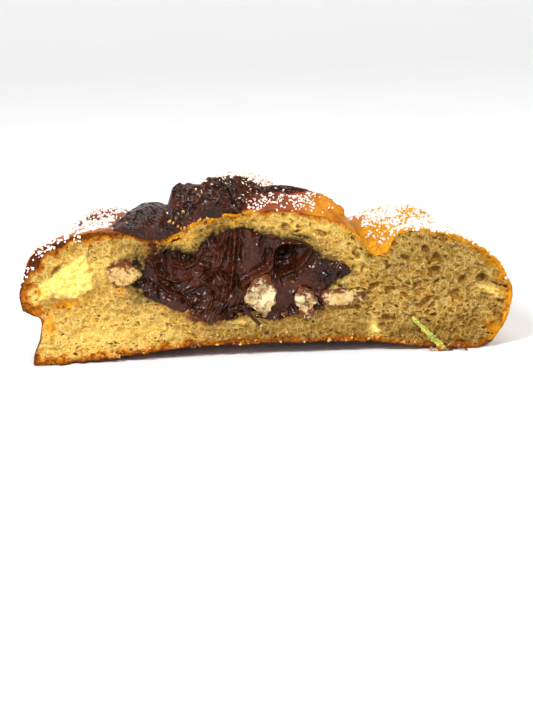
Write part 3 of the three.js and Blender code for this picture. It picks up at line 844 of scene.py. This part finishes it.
def cut_depth(space):
    """How far behind the cut the crumb lies at each x and z, down to its torn fibres."""
    x, z = space.xs[:, None], space.zs[None, :]
    relief = crumb_relief(x, z).astype(np.float32)
    fibres = 0.34 * np.abs(space.face_noise((1.9, 0.8), 13)) + 0.3 * np.abs(space.face_noise((0.9, 1.3), 14))
    torn = 0.26 * space.face_noise((2.1, 1.5), 3) + 0.16 * space.face_noise((1.1, 0.8), 4) + (fibres - 0.3)
    chips = 0.5 * space.face_noise((1.4, 1.0), 5) + 1.1 * np.maximum(0, space.face_noise((2.6, 1.5), 10))
    proud = -PALE_HEIGHT * spots(PALE_SPOTS, x, z) - FLAP_HEIGHT * flap_share(x, z)
    return (relief + torn + smoothstep(4.0, 0.8, z) * chips + proud).astype(np.float32)


def make_bread(bun):
    """The bread: its piece, its points and faces, and how densely sugar covers each point."""
    space = Space((-64, -2.6, -0.9), (64.4, 62.5, 46.8), VOXEL, 5.5)
    skin = bun.on(space)
    skin += 0.14 * space.noise(2.1, 1) + 0.08 * space.noise(0.8, 2)
    rough = near(space.x, 22, 8) * near(space.y, 6, 9)
    skin += (0.45 * space.noise(1.3, 15) + 0.22 * space.noise(0.7, 17)) * rough
    depth = cut_depth(space)
    face = depth[:, None, :] - space.y + 0.16 * space.noise(0.75, 6) + 0.08 * space.noise(0.45, 12)
    field = np.maximum(skin, face)
    field = np.maximum(field, 0.2 + 0.12 * space.noise(2.5, 7) + 0.16 * space.noise(1.2, 16) - space.z)
    cells = stamp_cells(space, np.random.default_rng(11)) + 0.07 * space.noise(0.6, 8)
    rind = np.clip((skin + crust_thickness(space.x, space.z) * 0.5) / 0.6, 0, 1)
    field = np.maximum(field, -(cells + rind * space.REACH))
    filling = filling_distance(space)
    field = np.maximum(field, -(filling + FILLING_OVERLAP))
    for lump in CREAM_LUMPS.values():
        field = np.maximum(field, -(lump_distance(space, lump) + CREAM_OVERLAP))
    points, faces = space.surface(field)
    under = -space.sample(skin, points)
    behind = points[:, 1] - space.sample_face(depth, points)
    uneven = np.exp(0.35 * space.sample(space.noise(1.8, 9), points))
    marks, share = bread_marks(points, faces, under, behind, uneven, space.sample(filling, points))
    return add_mesh("bread_baked", points, faces, bread_look(), marks), points, faces, share


def bread_marks(points, faces, under, behind, uneven, to_filling):
    """What the bread's look goes by at each point, painted light and shade among it, and how densely sugar
    covers it.

    `under` is the depth below the crust, `behind` that behind the torn surface of the cut, `uneven` a factor
    of how thick the browning is, and `to_filling` the distance from the filling.
    """
    x, y, z = points.T
    at_cut = 1 - smoothstep(*CUT_DEPTH, behind)
    inner = smoothstep(0.12, 0.3, under) * at_cut
    thick = crust_thickness(x, z) * uneven
    thick = thick * (1 - 0.85 * smoothstep(14.5, 13.0, z) * smoothstep(-50, -54, x) * smoothstep(2, 3.5, z))
    shoulder = smoothstep(-20, -27, x) * smoothstep(22, 27, z)
    browning = (1 - np.clip(under / thick / 2, 0, 1)) ** 1.3 * (1 + 0.7 * shoulder)
    soak = np.exp(-np.maximum(to_filling + 0.1, 0) / (0.7 + 0.7 * smoothstep(24, 29, z)))
    soak = np.maximum(soak * smoothstep(13, 17, z), spots(SOAKED_SPOTS, x, z))
    smear = np.maximum(0.7 * np.exp(-np.maximum(to_filling, 0) / 0.9), spots(SMEARED_SPOTS, x, z))

    up = normals_of(points, faces)[:, 2]
    coat = outline_distance(closed_outline(COAT_OUTLINE), x, y)
    curled = shoulder * smoothstep(-33, -37, x) * smoothstep(2.2, 1.2, under) * at_cut
    share = sugar_share(x, y, z, np.maximum(up, 0.5 * curled)) * smoothstep(0.2, 1.5, coat)
    share = share * np.maximum(smoothstep(0.35, 0.2, under), curled)
    band = smoothstep(5, 2, y) * smoothstep(-18, -26, x)
    # Painted shade: the cut darker low down, from the middle to near the right end.
    painted_shade_low = 0.9 * smoothstep(13, 4, z) * smoothstep(-24, -6, x) * smoothstep(62, 50, x)
    marks = {
        "inner": inner,
        "browning": np.minimum(browning, 1),
        "bake": bake_of(x, y, z),
        # Painted shade: how far behind the cut the crumb lies.
        "hollow": smoothstep(0.1, 0.9, behind) * inner,
        "soak": soak * at_cut,
        "smear": smear * at_cut,
        "pale": np.maximum(spots(PALE_SPOTS, x, z), 0.9 * flap_share(x, z)) * inner,
        "dust": share * (1 - 0.8 * on_front_hump(x, y)) * (1 - 0.8 * band),
        # Painted light and shade of the cut: lighter in the spots, which are partly paler crumb, and darker
        # low down.
        "painted_light_and_tone": spots(PAINTED_LIGHT_SPOTS, x, z) - painted_shade_low,
        "ember": spots(EMBER_SPOTS, x, z) * at_cut,
    }
    return marks, share


def bake_of(x, y, z):
    """How dark the crust is, from 0 for pale gold to 1 for dark brown."""
    top = 0.76 + 0.04 * smoothstep(-20, -50, x) - 0.66 * smoothstep(20 - 0.3 * y, 34, x)
    top = top + 0.14 * near(x, 2, 9) * smoothstep(28, 32, z)
    lower = 0.45 + 0.5 * smoothstep(-40, -56, x) - 0.25 * smoothstep(40, 56, x)
    tone = lower + (top - lower) * smoothstep(10, 24, z)
    left_band = smoothstep(-18, -26, x) * smoothstep(-54, -46, x) * smoothstep(24, 28, z)
    tone = tone - 0.2 * smoothstep(5, 2, y) * left_band
    tone = tone + (0.58 - tone) * smoothstep(18, 36, y) * smoothstep(34, 20, x)
    crease = bell((x - 27.5 + 0.35 * np.maximum(y, 0)) / 5.5) * bell(y / 16) * smoothstep(20, 24, z)
    amber = near(x, 18.5, 4.6) * near(y, 10, 6) * smoothstep(31, 34, z)
    glaze = near(x, 14, 5.5) * near(y, 2, 4) * smoothstep(30, 33, z)
    under_coat = smoothstep(-29, -25, x) * smoothstep(2, -3, x)
    under_coat = under_coat * smoothstep(2.5, 1.2, y) * smoothstep(24, 27, z)
    for strength, pale in ((0.97, crease), (0.95, amber), (0.35, glaze), (0.75, under_coat)):
        tone = tone * (1 - strength * pale)
    return np.clip(tone + (0.85 - tone) * smoothstep(2.8, 1.2, z - floor_height(x)), 0, 1)


# ---------------------------------------------------------------- chocolate and cream
# Sharp folds of the spread on the cut face: half width, height and the points (x, z) that it runs through.
FOLDS = [
    (0.55, 1.8, [(-6.4, 32.4), (-7.0, 27.9), (-7.5, 23.5), (-8.4, 18.1)]),
    (0.7, 1.3, [(9.5, 29.0), (6.0, 29.3), (3.2, 27.5), (1.8, 23.1), (-2.6, 20.8), (-5.1, 19.4)]),
    (0.5, 1.2, [(12.2, 27.0), (10.5, 24.5), (7.5, 22.3), (4.0, 21.2)]),
    (0.35, 1.0, [(-14.6, 20.8), (-12.8, 22.3), (-10.6, 24.6), (-9.6, 27.6)]),
    (0.3, 0.9, [(-19.5, 17.6), (-17.5, 18.7), (-15.0, 19.8), (-12.5, 18.6), (-11.5, 16.0)]),
    (0.35, 1.0, [(-25.8, 19.8), (-23.5, 18.0), (-20.5, 16.8), (-18.3, 14.2)]),
    (0.3, 1.2, [(-14.3, 12.2), (-13.4, 14.4), (-12.8, 16.3)]),
    (0.3, 1.5, [(-11.2, 10.7), (-8.2, 12.2), (-5.4, 13.2), (-4.0, 14.4)]),
    (0.4, 0.9, [(-22.5, 24.6), (-19.2, 24.2), (-16.6, 25.6), (-14.8, 28.0)]),
    (0.4, 0.9, [(-26.0, 23.0), (-24.2, 21.4), (-21.0, 20.6), (-17.8, 21.8)]),
    (0.45, 0.9, [(-12.5, 31.0), (-10.8, 27.8), (-11.6, 24.8)]),
]
# The drip's line, and the drop of cream at its end, which is part of the middle lump: x, z, y and radius.
DRIP = [
    (-5.2, 13.6, -1.2, 0.55), (-3.9, 11.9, -1.2, 0.5), (-2.6, 10.2, -1.0, 0.42), (-1.4, 8.9, -0.8, 0.5),
]
CREAM_TIP = (-1.1, 8.4, -0.9, 0.5)
CREAM_YELLOW = {"cream_lump_left": 0.75, "cream_lump_end": 0.45}  # the other lumps aren't yellowed
# Dark spots on the spread: the first is painted shade in the cave, the second its dark soaked right end.
SPREAD_SOAK_AND_SHADE_SPOTS = [(6.2, 26, 3.6, 2.6, 0.25, 0.9), (20.5, 20.6, 5.5, 3.2, 0, 0.9)]


def spread_relief(space):
    """How far behind the cut the spread lies, and how near each place is to the crests of the folds, where a
    highlight is painted.
    """
    x, z = space.xs[:, None], space.zs[None, :]
    warp_x = x + 1.8 * space.face_noise(4.5, 23) + 0.6 * space.face_noise(1.5, 24)
    warp_z = z + 1.8 * space.face_noise(4.5, 25)
    creases = np.abs(lattice_noise(warp_x / 2.8, 3, warp_z / 5.5))
    small = np.abs(lattice_noise(warp_x / 1.3, 7, warp_z / 2.2))
    calm = 1 - 0.9 * near(x, -2.6, 3.8) * near(z, 25.6, 5.5) - 0.7 * near(x, 11, 4) * near(z, 20.5, 4)
    calm = np.clip(calm, 0.08, 1)
    cave_x, cave_z, half_x, half_z, depth = CAVE
    cave = depth * bell((x - cave_x - 0.25 * (z - cave_z)) / half_x) * near(z, cave_z, half_z)
    front = -0.9 + calm * (1.6 * creases**0.7 + 0.8 * small) + cave + 0.35 * space.face_noise(3.2, 26)
    wet = smoothstep(-15, -22, x) + smoothstep(14, 11.5, z)
    front = front + 0.25 * np.clip(wet, 0, 1) * space.face_noise(0.7, 28)
    # How near the crests of the folds are, for the painted highlight.
    painted_crest_highlight = np.zeros(front.shape)
    for half_width, height, line in FOLDS:
        away = line_distance(line, x, z)
        painted_crest_highlight = np.maximum(painted_crest_highlight, bell(away / half_width / 0.55))
        front = front - height * np.exp(-((away / half_width) ** 1.5))
        front = front + 0.4 * height * near(away, 2.2 * half_width, 0.8)
    # the first lump lies beside the spread, so no room is made for it
    for lump_x, lump_z, half_x, half_z, _ in list(CREAM_LUMPS.values())[1:]:
        spread = ((x - lump_x) / (half_x + 0.2)) ** 2 + ((z - lump_z) / (half_z + 0.2)) ** 2
        front = front + 3.0 * smoothstep(0.95, 0.6, spread)
    return np.maximum(front, -2.6).astype(np.float32), painted_crest_highlight


def drip_distance(space):
    """Distance from the drip of chocolate, positive outside."""
    nearest = FAR
    for (x0, z0, y0, r0), (x1, z1, y1, r1) in itertools.pairwise(DRIP):
        run = np.array([x1 - x0, y1 - y0, z1 - z0])
        share = ((space.x - x0) * run[0] + (space.y - y0) * run[1] + (space.z - z0) * run[2]) / (run @ run)
        share = np.clip(share, 0, 1)
        away = (space.x - x0 - share * run[0]) ** 2 + (space.y - y0 - share * run[1]) ** 2
        away = np.sqrt(away + (space.z - z0 - share * run[2]) ** 2)
        nearest = np.minimum(nearest, away - r0 - share * (r1 - r0))
    return nearest


def make_filling():
    space = Space((-34, -3.4, 7.0), (24.5, 26, 36.0), FINE_VOXEL, 4, 0.06, 0.8)
    body = filling_distance(space, 0.4) + 0.45 * space.noise(2.6, 21) + 0.3 * space.noise(1.2, 22)
    front, painted_crest_highlight = spread_relief(space)
    field = np.maximum(body, front[:, None, :] - space.y)
    field = np.minimum(field, drip_distance(space)) + 0.04 * space.noise(0.5, 27)
    points, faces = space.surface(field)
    # Dark soaked spots, with painted shade in the cave.
    soaked_and_shaded = spots(SOAKED_SPOTS + SPREAD_SOAK_AND_SHADE_SPOTS, points[:, 0], points[:, 2])
    marks = {"soaked_and_shaded": soaked_and_shaded * 0.85, "painted_crest_highlight": space.sample_face(painted_crest_highlight, points)}
    material = chocolate_look("chocolate_spread", (33, 11, 4), (60, 25, 11), flecks=0.45, relief=0.6)
    return add_mesh("chocolate_spread", points, faces, material, marks)


def make_cream(name, lump, material):
    x, z, half_x, half_z, depth = lump
    low, high = (x - half_x - 2, -2.6, z - half_z - 3.6), (x + half_x + 2, depth + 2, z + half_z + 2)
    space = Space(low, high, FINE_VOXEL, 3, 0.06, 0.6)
    body = lump_distance(space, lump, 0.05)
    body += 0.75 * space.noise(2.2, 31) + 0.5 * space.noise(1.0, 32) + 0.18 * space.noise(0.5, 34)
    front = -1.1 + 0.5 * space.face_noise(1.6, 33) + 0.25 * space.face_noise(0.8, 35)
    field = np.maximum(body, front[:, None, :].astype(np.float32) - space.y)
    if name == "cream_lump_middle":
        tip_x, tip_z, tip_y, tip_radius = CREAM_TIP
        tip = np.sqrt((space.x - tip_x) ** 2 + (space.y - tip_y) ** 2 + ((space.z - tip_z) * 0.7) ** 2)
        field = np.minimum(field, tip - tip_radius + 0.1 * space.noise(0.6, 36))
    points, faces = space.surface(field)
    across, above = (points[:, 0] - x) / half_x, (points[:, 2] - z) / half_z
    stain = CREAM_STAINS[name] + 0.16 * smoothstep(0.1, 1.0, above)
    stain = stain + 0.14 * smoothstep(0.7, 1.2, np.hypot(across, above))
    stain = stain + 0.12 * lattice_noise(points[:, 0] / 2.1, points[:, 1] / 2, points[:, 2] / 1.7)
    marks = {"stain": stain, "yellow": np.full(len(points), CREAM_YELLOW.get(name, 0.0))}
    return add_mesh(name + "_curd", points, faces, material, marks)


def make_coat(bun):
    """The topping: its piece, its points and its faces."""
    space = Space((-39.5, -1.6, 28), (15, 22, 48.5), FINE_VOXEL, 30)
    x, y = space.xs[:, None], space.ys[None, :]
    inside = -outline_distance(closed_outline(COAT_OUTLINE), x, y)
    inside = inside + 0.5 * lattice_noise(x / 2.2, y / 2.2, 4) + 0.3 * lattice_noise(x / 1.1, y / 1.1, 5)
    lumps = 0.7 * lattice_noise(x / 4.2, y / 4.2, 1) + 0.4 * lattice_noise(x / 2, y / 2, 2)
    heap_x, heap_y, heap_radius, heap_height = COAT_HEAP
    peak_x, peak_y, peak_radius, peak_height = COAT_PEAK
    heap = heap_height * np.exp(-((np.hypot(x - heap_x, y - heap_y) / heap_radius) ** 6))
    peak = peak_height * bell(np.hypot(x - peak_x, y - peak_y) / peak_radius)
    swirl = 0.5 * (1 - 2.2 * np.abs(lattice_noise(x / 2.6 + y / 7, y / 5 - x / 9, 6)))
    swirl = swirl * smoothstep(-13, -9, x) * smoothstep(14, 8, y)
    rough = smoothstep(-24, -20, x) * smoothstep(0, -6, x) + 0.12
    thick = (COAT_THICKNESS + lumps + swirl + heap + peak) * np.sqrt(np.clip(inside / COAT_EDGE, 0, 1))
    thick = thick * (1 - 0.7 * smoothstep(7, 11, y) * smoothstep(-19, -15, x))
    thick = np.where(inside > 0, thick + 0.15, np.maximum(inside, -2))
    grit = (0.36 * space.noise(1.0, 41) + 0.2 * space.noise(0.5, 42)) * rough[:, :, None].astype(np.float32)
    skin = bun.on(space)
    buried = 0.45 + 0.35 * space.noise(1.6, 44)
    field = np.maximum(skin - thick[:, :, None].astype(np.float32) + grit, -buried - skin)
    edge = 0.1 + 0.5 * space.noise((2.2, 4, 1.6), 43)
    field = np.maximum(field, edge - space.y)
    points, faces = space.surface(field)
    material = chocolate_look("chocolate_topping", (29, 10, 4), (54, 21, 9), flecks=0.6, relief=1.1)
    return add_mesh("chocolate_topping", points, faces, material), points, faces


# ---------------------------------------------------------------- sugar
CUBE = np.array(list(itertools.product((-1, 1), repeat=3))) / 2
CUBE_FACES = np.array([(0, 1, 3, 2), (4, 6, 7, 5), (0, 4, 5, 1), (2, 3, 7, 6), (0, 2, 6, 4), (1, 5, 7, 3)])
# Kinds of grain: name, how many for each square mm, smallest and largest size, and by what share their
# number changes on the front of the hump.
SUGAR_KINDS = [("sugar_coarse", 2.4, 0.4, 0.66, -0.97), ("sugar_fine", 4.2, 0.2, 0.4, 1.5)]
MOST_GRAINS = 16000


def random_turns(rng, count):
    """Random rotation matrices."""
    q = rng.normal(size=(count, 4))
    w, x, y, z = (q / np.linalg.norm(q, axis=1, keepdims=True)).T
    return np.stack([
        np.stack([1 - 2 * (y * y + z * z), 2 * (x * y - z * w), 2 * (x * z + y * w)], axis=1),
        np.stack([2 * (x * y + z * w), 1 - 2 * (x * x + z * z), 2 * (y * z - x * w)], axis=1),
        np.stack([2 * (x * z - y * w), 2 * (y * z + x * w), 1 - 2 * (x * x + y * y)], axis=1),
    ], axis=1)


def scatter(name, shapes, shape_faces, places, material, rng, smooth):
    """One mesh of many small shapes, each turned at random and put at its place."""
    points = np.einsum("nij,nkj->nki", random_turns(rng, len(places)), shapes) + places[:, None, :]
    starts = shapes.shape[1] * np.arange(len(places))
    faces = (shape_faces[None] + starts[:, None, None]).reshape(-1, shape_faces.shape[1])
    return add_mesh(name, points.reshape(-1, 3), faces, material, smooth=smooth)


def on_front_hump(x, y):
    """1 on the front of the hump, fading to all sides."""
    return near(x, 8, 13) * near(y, 4, 8)


def sugar_share(x, y, z, up):
    """How densely sugar covers the crust, from 0 to 1."""
    right = 0.75 * smoothstep(28, 34, x + 0.35 * y)
    left = (0.6 + 0.35 * smoothstep(9, 14, y)) * smoothstep(-34, -39, x)
    knob = smoothstep(13, 9, np.hypot(x - KNOB[0], y - KNOB[1]))
    front = 0.5 * smoothstep(-5, -1, x) * smoothstep(19, 12, x)
    share = np.maximum.reduce([right, left, knob, front, 0.6 * smoothstep(12, 24, y)])
    crease = bell((x - 27 + 0.4 * y) / 5.5) * bell(y / 18) * smoothstep(20, 24, z)
    amber = near(x, 17.5, 4.5) * near(y, 11, 6) * smoothstep(34, 36, z)
    clumps = lattice_noise(x / 3, y / 3, z / 3) + 0.4 * lattice_noise(x / 1.3, y / 1.3, z / 1.3)
    clusters = smoothstep(-0.1, 0.5, clumps)
    back_left = smoothstep(8, 13, y) * smoothstep(-34, -39, x)
    evenness = np.clip(right + 0.3 * knob + 1.8 * front + back_left, 0, 1)
    evenness = np.maximum(evenness, 0.7 * smoothstep(-50, -54, x))
    glaze = near(x, 14, 6) * smoothstep(5, 2, y)
    patch = clusters + (0.34 + 0.4 * clusters - clusters) * evenness
    share = share * patch * (1 - 0.98 * crease) * (1 - 0.98 * amber) * (1 - 0.85 * glaze)
    rim = 0.3 + 0.7 * smoothstep(0.2, 4.0, y)
    shoulder = 0.5 * smoothstep(-33, -37, x) * smoothstep(27, 30, z)
    rim = np.minimum(rim + shoulder + 0.6 * smoothstep(36, 42, x), 1)
    rim = np.minimum(rim + 0.7 * smoothstep(-50, -55, x) * smoothstep(14, 20, z), 1)
    up = up + 0.35 * smoothstep(-48, -56, x) * smoothstep(8, 3, y)
    share = share * rim * smoothstep(0.05, 0.5, up)
    return share * (0.15 + 0.85 * smoothstep(12, 22, z)) * smoothstep(8, 14, z)


def make_sugar(points, faces, share):
    """Sugar crystals as small blocks, strewn over the faces by their area and share."""
    rng = np.random.default_rng(5)
    normals = normals_of(points, faces)
    corners = points[faces]
    area = np.linalg.norm(np.cross(corners[:, 2] - corners[:, 0], corners[:, 3] - corners[:, 1]), axis=1) / 2
    facing = normals[faces].mean(axis=1)
    share = share[faces].mean(axis=1)
    middle = corners.mean(axis=1)
    on_hump = on_front_hump(middle[:, 0], middle[:, 1])
    material = sugar_look()
    pieces = []
    for name, per_area, small, large, change in SUGAR_KINDS:
        expected = area * share * per_area * (1 + on_hump * change)
        count = min(int(expected.sum()), MOST_GRAINS)
        chosen = rng.choice(len(area), count, p=expected / expected.sum())
        u, v = rng.random((count, 1)), rng.random((count, 1))
        a, b, c, d = (corners[chosen, k] for k in range(4))
        start, end = a * (1 - u) + b * u, d * (1 - u) + c * u
        sizes = rng.uniform(small, large, count)
        places = start * (1 - v) + end * v + facing[chosen] * (sizes * 0.3)[:, None]
        proportions = rng.uniform(0.7, 1.3, (count, 1, 3))
        blocks = CUBE[None] * proportions * sizes[:, None, None]
        pieces.append(scatter(name, blocks, CUBE_FACES, places, material, rng, smooth=False))
    return pieces


# ---------------------------------------------------------------- crumbs, flecks and peel
BASE_CRUMBS = 130
PEEL_CRUMBS = 26
COAT_CRUMBS = 34
FLECKS = 46
PEEL_LINE = [
    (37.0, -0.1, 9.2), (38.6, -0.35, 7.4), (40.4, -0.6, 5.5), (42.6, -0.75, 3.0), (44.6, -0.9, 1.3),
    (46.4, -1.0, 0.6),
]
PEEL_WIDTH = 0.8
PEEL_THICKNESS = 0.32


def round_shape():
    """Points and faces of a small ball of 80 triangles."""
    ball = bmesh.new()
    bmesh.ops.create_icosphere(ball, subdivisions=2, radius=1)
    points = np.array([vertex.co[:] for vertex in ball.verts])
    faces = np.array([[vertex.index for vertex in face.verts] for face in ball.faces])
    ball.free()
    return points, faces


def add_lumps(name, places, sizes, material, rng):
    """Small rough lumps, one mesh."""
    ball, ball_faces = round_shape()
    shapes = ball[None] * (1 + rng.normal(0, 0.3, (len(places), len(ball), 1))) * sizes[:, None, :]
    return scatter(name, shapes, ball_faces, places, material, rng, smooth=True)


def make_peel(steps=48, sides=14):
    """A shred of peel lying on the cut: a flat strip that narrows to both ends."""
    t = np.linspace(0, 1, steps)
    line = spline(PEEL_LINE, t)
    along = np.gradient(line, axis=0)
    along /= np.linalg.norm(along, axis=1, keepdims=True)
    front = np.array([0.15, -1.0, 0.1])
    across = np.cross(along, front)
    across /= np.linalg.norm(across, axis=1, keepdims=True)
    out = np.cross(across, along)
    turn = np.linspace(0, 2 * math.pi, sides, endpoint=False)[None, :, None]
    swelling = (np.sin(math.pi * np.clip(t * 0.96 + 0.02, 0, 1)) ** 0.45)[:, None, None]
    ragged = (1 + 0.4 * lattice_noise(t * 17, 3, 0) + 0.2 * lattice_noise(t * 45, 8, 0))[:, None, None]
    wide = across[:, None, :] * np.cos(turn) * PEEL_WIDTH * swelling * ragged
    points = line[:, None, :] + wide + out[:, None, :] * np.sin(turn) * PEEL_THICKNESS * swelling
    ends = np.array([np.arange(sides)[::-1], (steps - 1) * sides + np.arange(sides)])
    caps = [[end[0], end[k], end[k + 1], end[k + 2]] for end in ends for k in range(1, sides - 2, 2)]
    faces = np.vstack([tube_faces(steps, sides), np.array(caps)])
    return add_mesh("peel_shred", points.reshape(-1, 3), faces, peel_look())


def make_crumbs(coat):
    """Loose crumbs along the base, beside the peel and on the lower edge of the topping."""
    rng = np.random.default_rng(17)
    x = rng.uniform(-56, 53, BASE_CRUMBS)
    z = floor_height(x) + 0.2 + rng.uniform(0.15, 2.2, len(x)) ** 1.4
    y = crumb_relief(x, z) - rng.uniform(0.0, 0.3, len(x))
    sizes = rng.uniform(0.14, 0.42, (len(x), 1)) * rng.uniform(0.5, 1.3, (len(x), 3))
    places = np.stack([x, y, np.maximum(z, sizes.max(axis=1))], axis=1)
    by_peel = np.array([45.3, -0.9, 0.9]) + rng.normal(0, 1, (PEEL_CRUMBS, 3)) * (1.6, 0.35, 0.35)
    by_peel[:, 2] = np.maximum(by_peel[:, 2], 0.4)
    x, y, z = coat.T
    edge = (y < 1.6) * near(x, -18, 4.5) * near(z, 35.8, 1.3)
    on_coat = coat[rng.choice(len(coat), COAT_CRUMBS, p=edge / edge.sum())]
    places = np.vstack([places, by_peel, on_coat])
    peel_sizes = rng.uniform(0.25, 0.5, (PEEL_CRUMBS, 3))
    sizes = np.vstack([sizes, peel_sizes, rng.uniform(0.2, 0.45, (COAT_CRUMBS, 3))])
    return add_lumps("loose_crumbs", places, sizes, crumbs_look(), rng)


def make_flecks(points, faces):
    """Pale flecks strewn on the chocolate topping."""
    rng = np.random.default_rng(23)
    normals = normals_of(points, faces)
    x, y, _ = points.T
    strewn = 0.04 + near(x, -3, 3.5) * near(y, 10, 3) + 0.3 * near(x, -13, 4) * near(y, 8, 4)
    strewn = ((normals[:, 2] > 0.3) & (y > 1.0)) * strewn
    chosen = rng.choice(len(points), FLECKS, p=strewn / strewn.sum())
    sizes = rng.uniform(0.15, 0.42, (FLECKS, 1)) * np.array([[1.3, 0.6, 0.3]])
    places = points[chosen] + normals[chosen] * 0.12
    return add_lumps("pale_flecks", places, sizes, flecks_look(), rng)


# ---------------------------------------------------------------- camera, light and floor
CAMERA_DISTANCE = 0.38
CAMERA_ELEVATION = math.radians(16)
CAMERA_ROLL = math.radians(2.35)
CAMERA_AIM = (ORIGIN[0] / 1000, ORIGIN[1] / 1000, 0.00065)
SENSOR_WIDTH = 36
VIEW_HEIGHT = 0.1797  # of the picture, at the cut face
FLOOR_RADIUS = 1.6
FLOOR_FLAT = 0.7
FLOOR_RINGS = 40
FLOOR_TURNS = 96
WALL_HEIGHT = 0.8
WORLD_LIGHT = 0.2
LIGHT_AIM = (0, 0, 0.02)
LIGHTS = (  # name, place, size and watts
    ("key", (-1.0, -1.4, 1.6), 0.5, 24.5),
    ("fill", (1.4, -1.3, 0.9), 1.0, 6.0),
    ("top", (0.1, 0.5, 1.6), 1.2, 12.0),
    ("left", (-0.3, -0.3, 0.16), 0.15, 0.3),
    ("glint_left", (-0.45, -0.55, 0.6), 0.12, 4.0),
    ("glint_right", (0.3, -0.6, 0.55), 0.12, 3.4),
)


def set_camera():
    away = Vector((0, -math.cos(CAMERA_ELEVATION), math.sin(CAMERA_ELEVATION)))
    camera = bpy.data.objects.new("camera", bpy.data.cameras.new("camera"))
    turn = (-away).to_track_quat("-Z", "Y").to_matrix() @ Matrix.Rotation(-CAMERA_ROLL, 3, "Z")
    camera.matrix_world = Matrix.Translation(Vector(CAMERA_AIM) + away * CAMERA_DISTANCE) @ turn.to_4x4()
    camera.data.sensor_width = SENSOR_WIDTH
    camera.data.lens = SENSOR_WIDTH * CAMERA_DISTANCE / VIEW_HEIGHT
    camera.data.clip_start = 0.01
    bpy.context.scene.collection.objects.link(camera)
    bpy.context.scene.camera = camera


def set_lights():
    for name, place, size, watts in LIGHTS:
        light = bpy.data.objects.new(name, bpy.data.lights.new(name, "AREA"))
        light.data.energy = watts
        light.data.size = size
        light.location = place
        light.rotation_euler = (Vector(LIGHT_AIM) - Vector(place)).to_track_quat("-Z", "Y").to_euler()
        bpy.context.scene.collection.objects.link(light)
    world = bpy.data.worlds.new("world")
    world.use_nodes = True
    world.node_tree.nodes["Background"].inputs["Color"].default_value = (1, 1, 1, 1)
    world.node_tree.nodes["Background"].inputs["Strength"].default_value = WORLD_LIGHT
    bpy.context.scene.world = world
    bpy.context.scene.view_settings.view_transform = "Standard"


def set_floor():
    """A round floor that rises to a wall far from the bread."""
    look = Look("floor")
    shade = look.mix(look.noise(60, 2), (234, 234, 234), (238, 238, 238))
    look.set(Base_Color=shade, Roughness=0.8)
    share = np.linspace(0, 1, FLOOR_RINGS)[:, None]
    turn = np.linspace(0, 2 * math.pi, FLOOR_TURNS, endpoint=False)[None, :]
    radius = FLOOR_RADIUS * (0.02 + 0.98 * share) + 0 * turn
    height = WALL_HEIGHT * np.clip((radius - FLOOR_FLAT) / (FLOOR_RADIUS - FLOOR_FLAT), 0, 1) ** 3
    points = np.stack([radius * np.cos(turn), radius * np.sin(turn), height], axis=-1).reshape(-1, 3)
    points = points * 1000 - ORIGIN
    floor = add_mesh("floor", points, tube_faces(FLOOR_RINGS, FLOOR_TURNS), look.material)
    ring = np.arange(FLOOR_TURNS)[None, :]
    centre = add_mesh("floor_centre", points[:FLOOR_TURNS], ring, look.material)


# ---------------------------------------------------------------- everything together
def main():
    set_camera()
    set_lights()
    set_floor()
    bun = Bun()
    bread, points, faces, share = make_bread(bun)
    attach(bread, "root")
    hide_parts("bread")
    spread = make_filling()
    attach(spread, "root")
    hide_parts("chocolate_filling")
    topping, coat_points, coat_faces = make_coat(bun)
    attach(topping, "root")
    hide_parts("chocolate_coat")
    cream = cream_look()
    for name, lump in CREAM_LUMPS.items():
        curd = make_cream(name, lump, cream)
        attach(curd, "root")
        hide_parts(name)
    small = [make_peel(), make_crumbs(coat_points), make_flecks(coat_points, coat_faces)]
    x, y, _ = coat_points.T
    on_coat = 0.9 * smoothstep(9.5, 12, y) * near(x, KNOB[0], 9)
    on_coat = on_coat * smoothstep(0.1, 0.5, normals_of(coat_points, coat_faces)[:, 2])
    surface = np.vstack([points, coat_points]), np.vstack([faces, coat_faces + len(points)])
    small += make_sugar(*surface, np.concatenate([share, on_coat]))
    for piece in small:
        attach(piece, "root")


main()
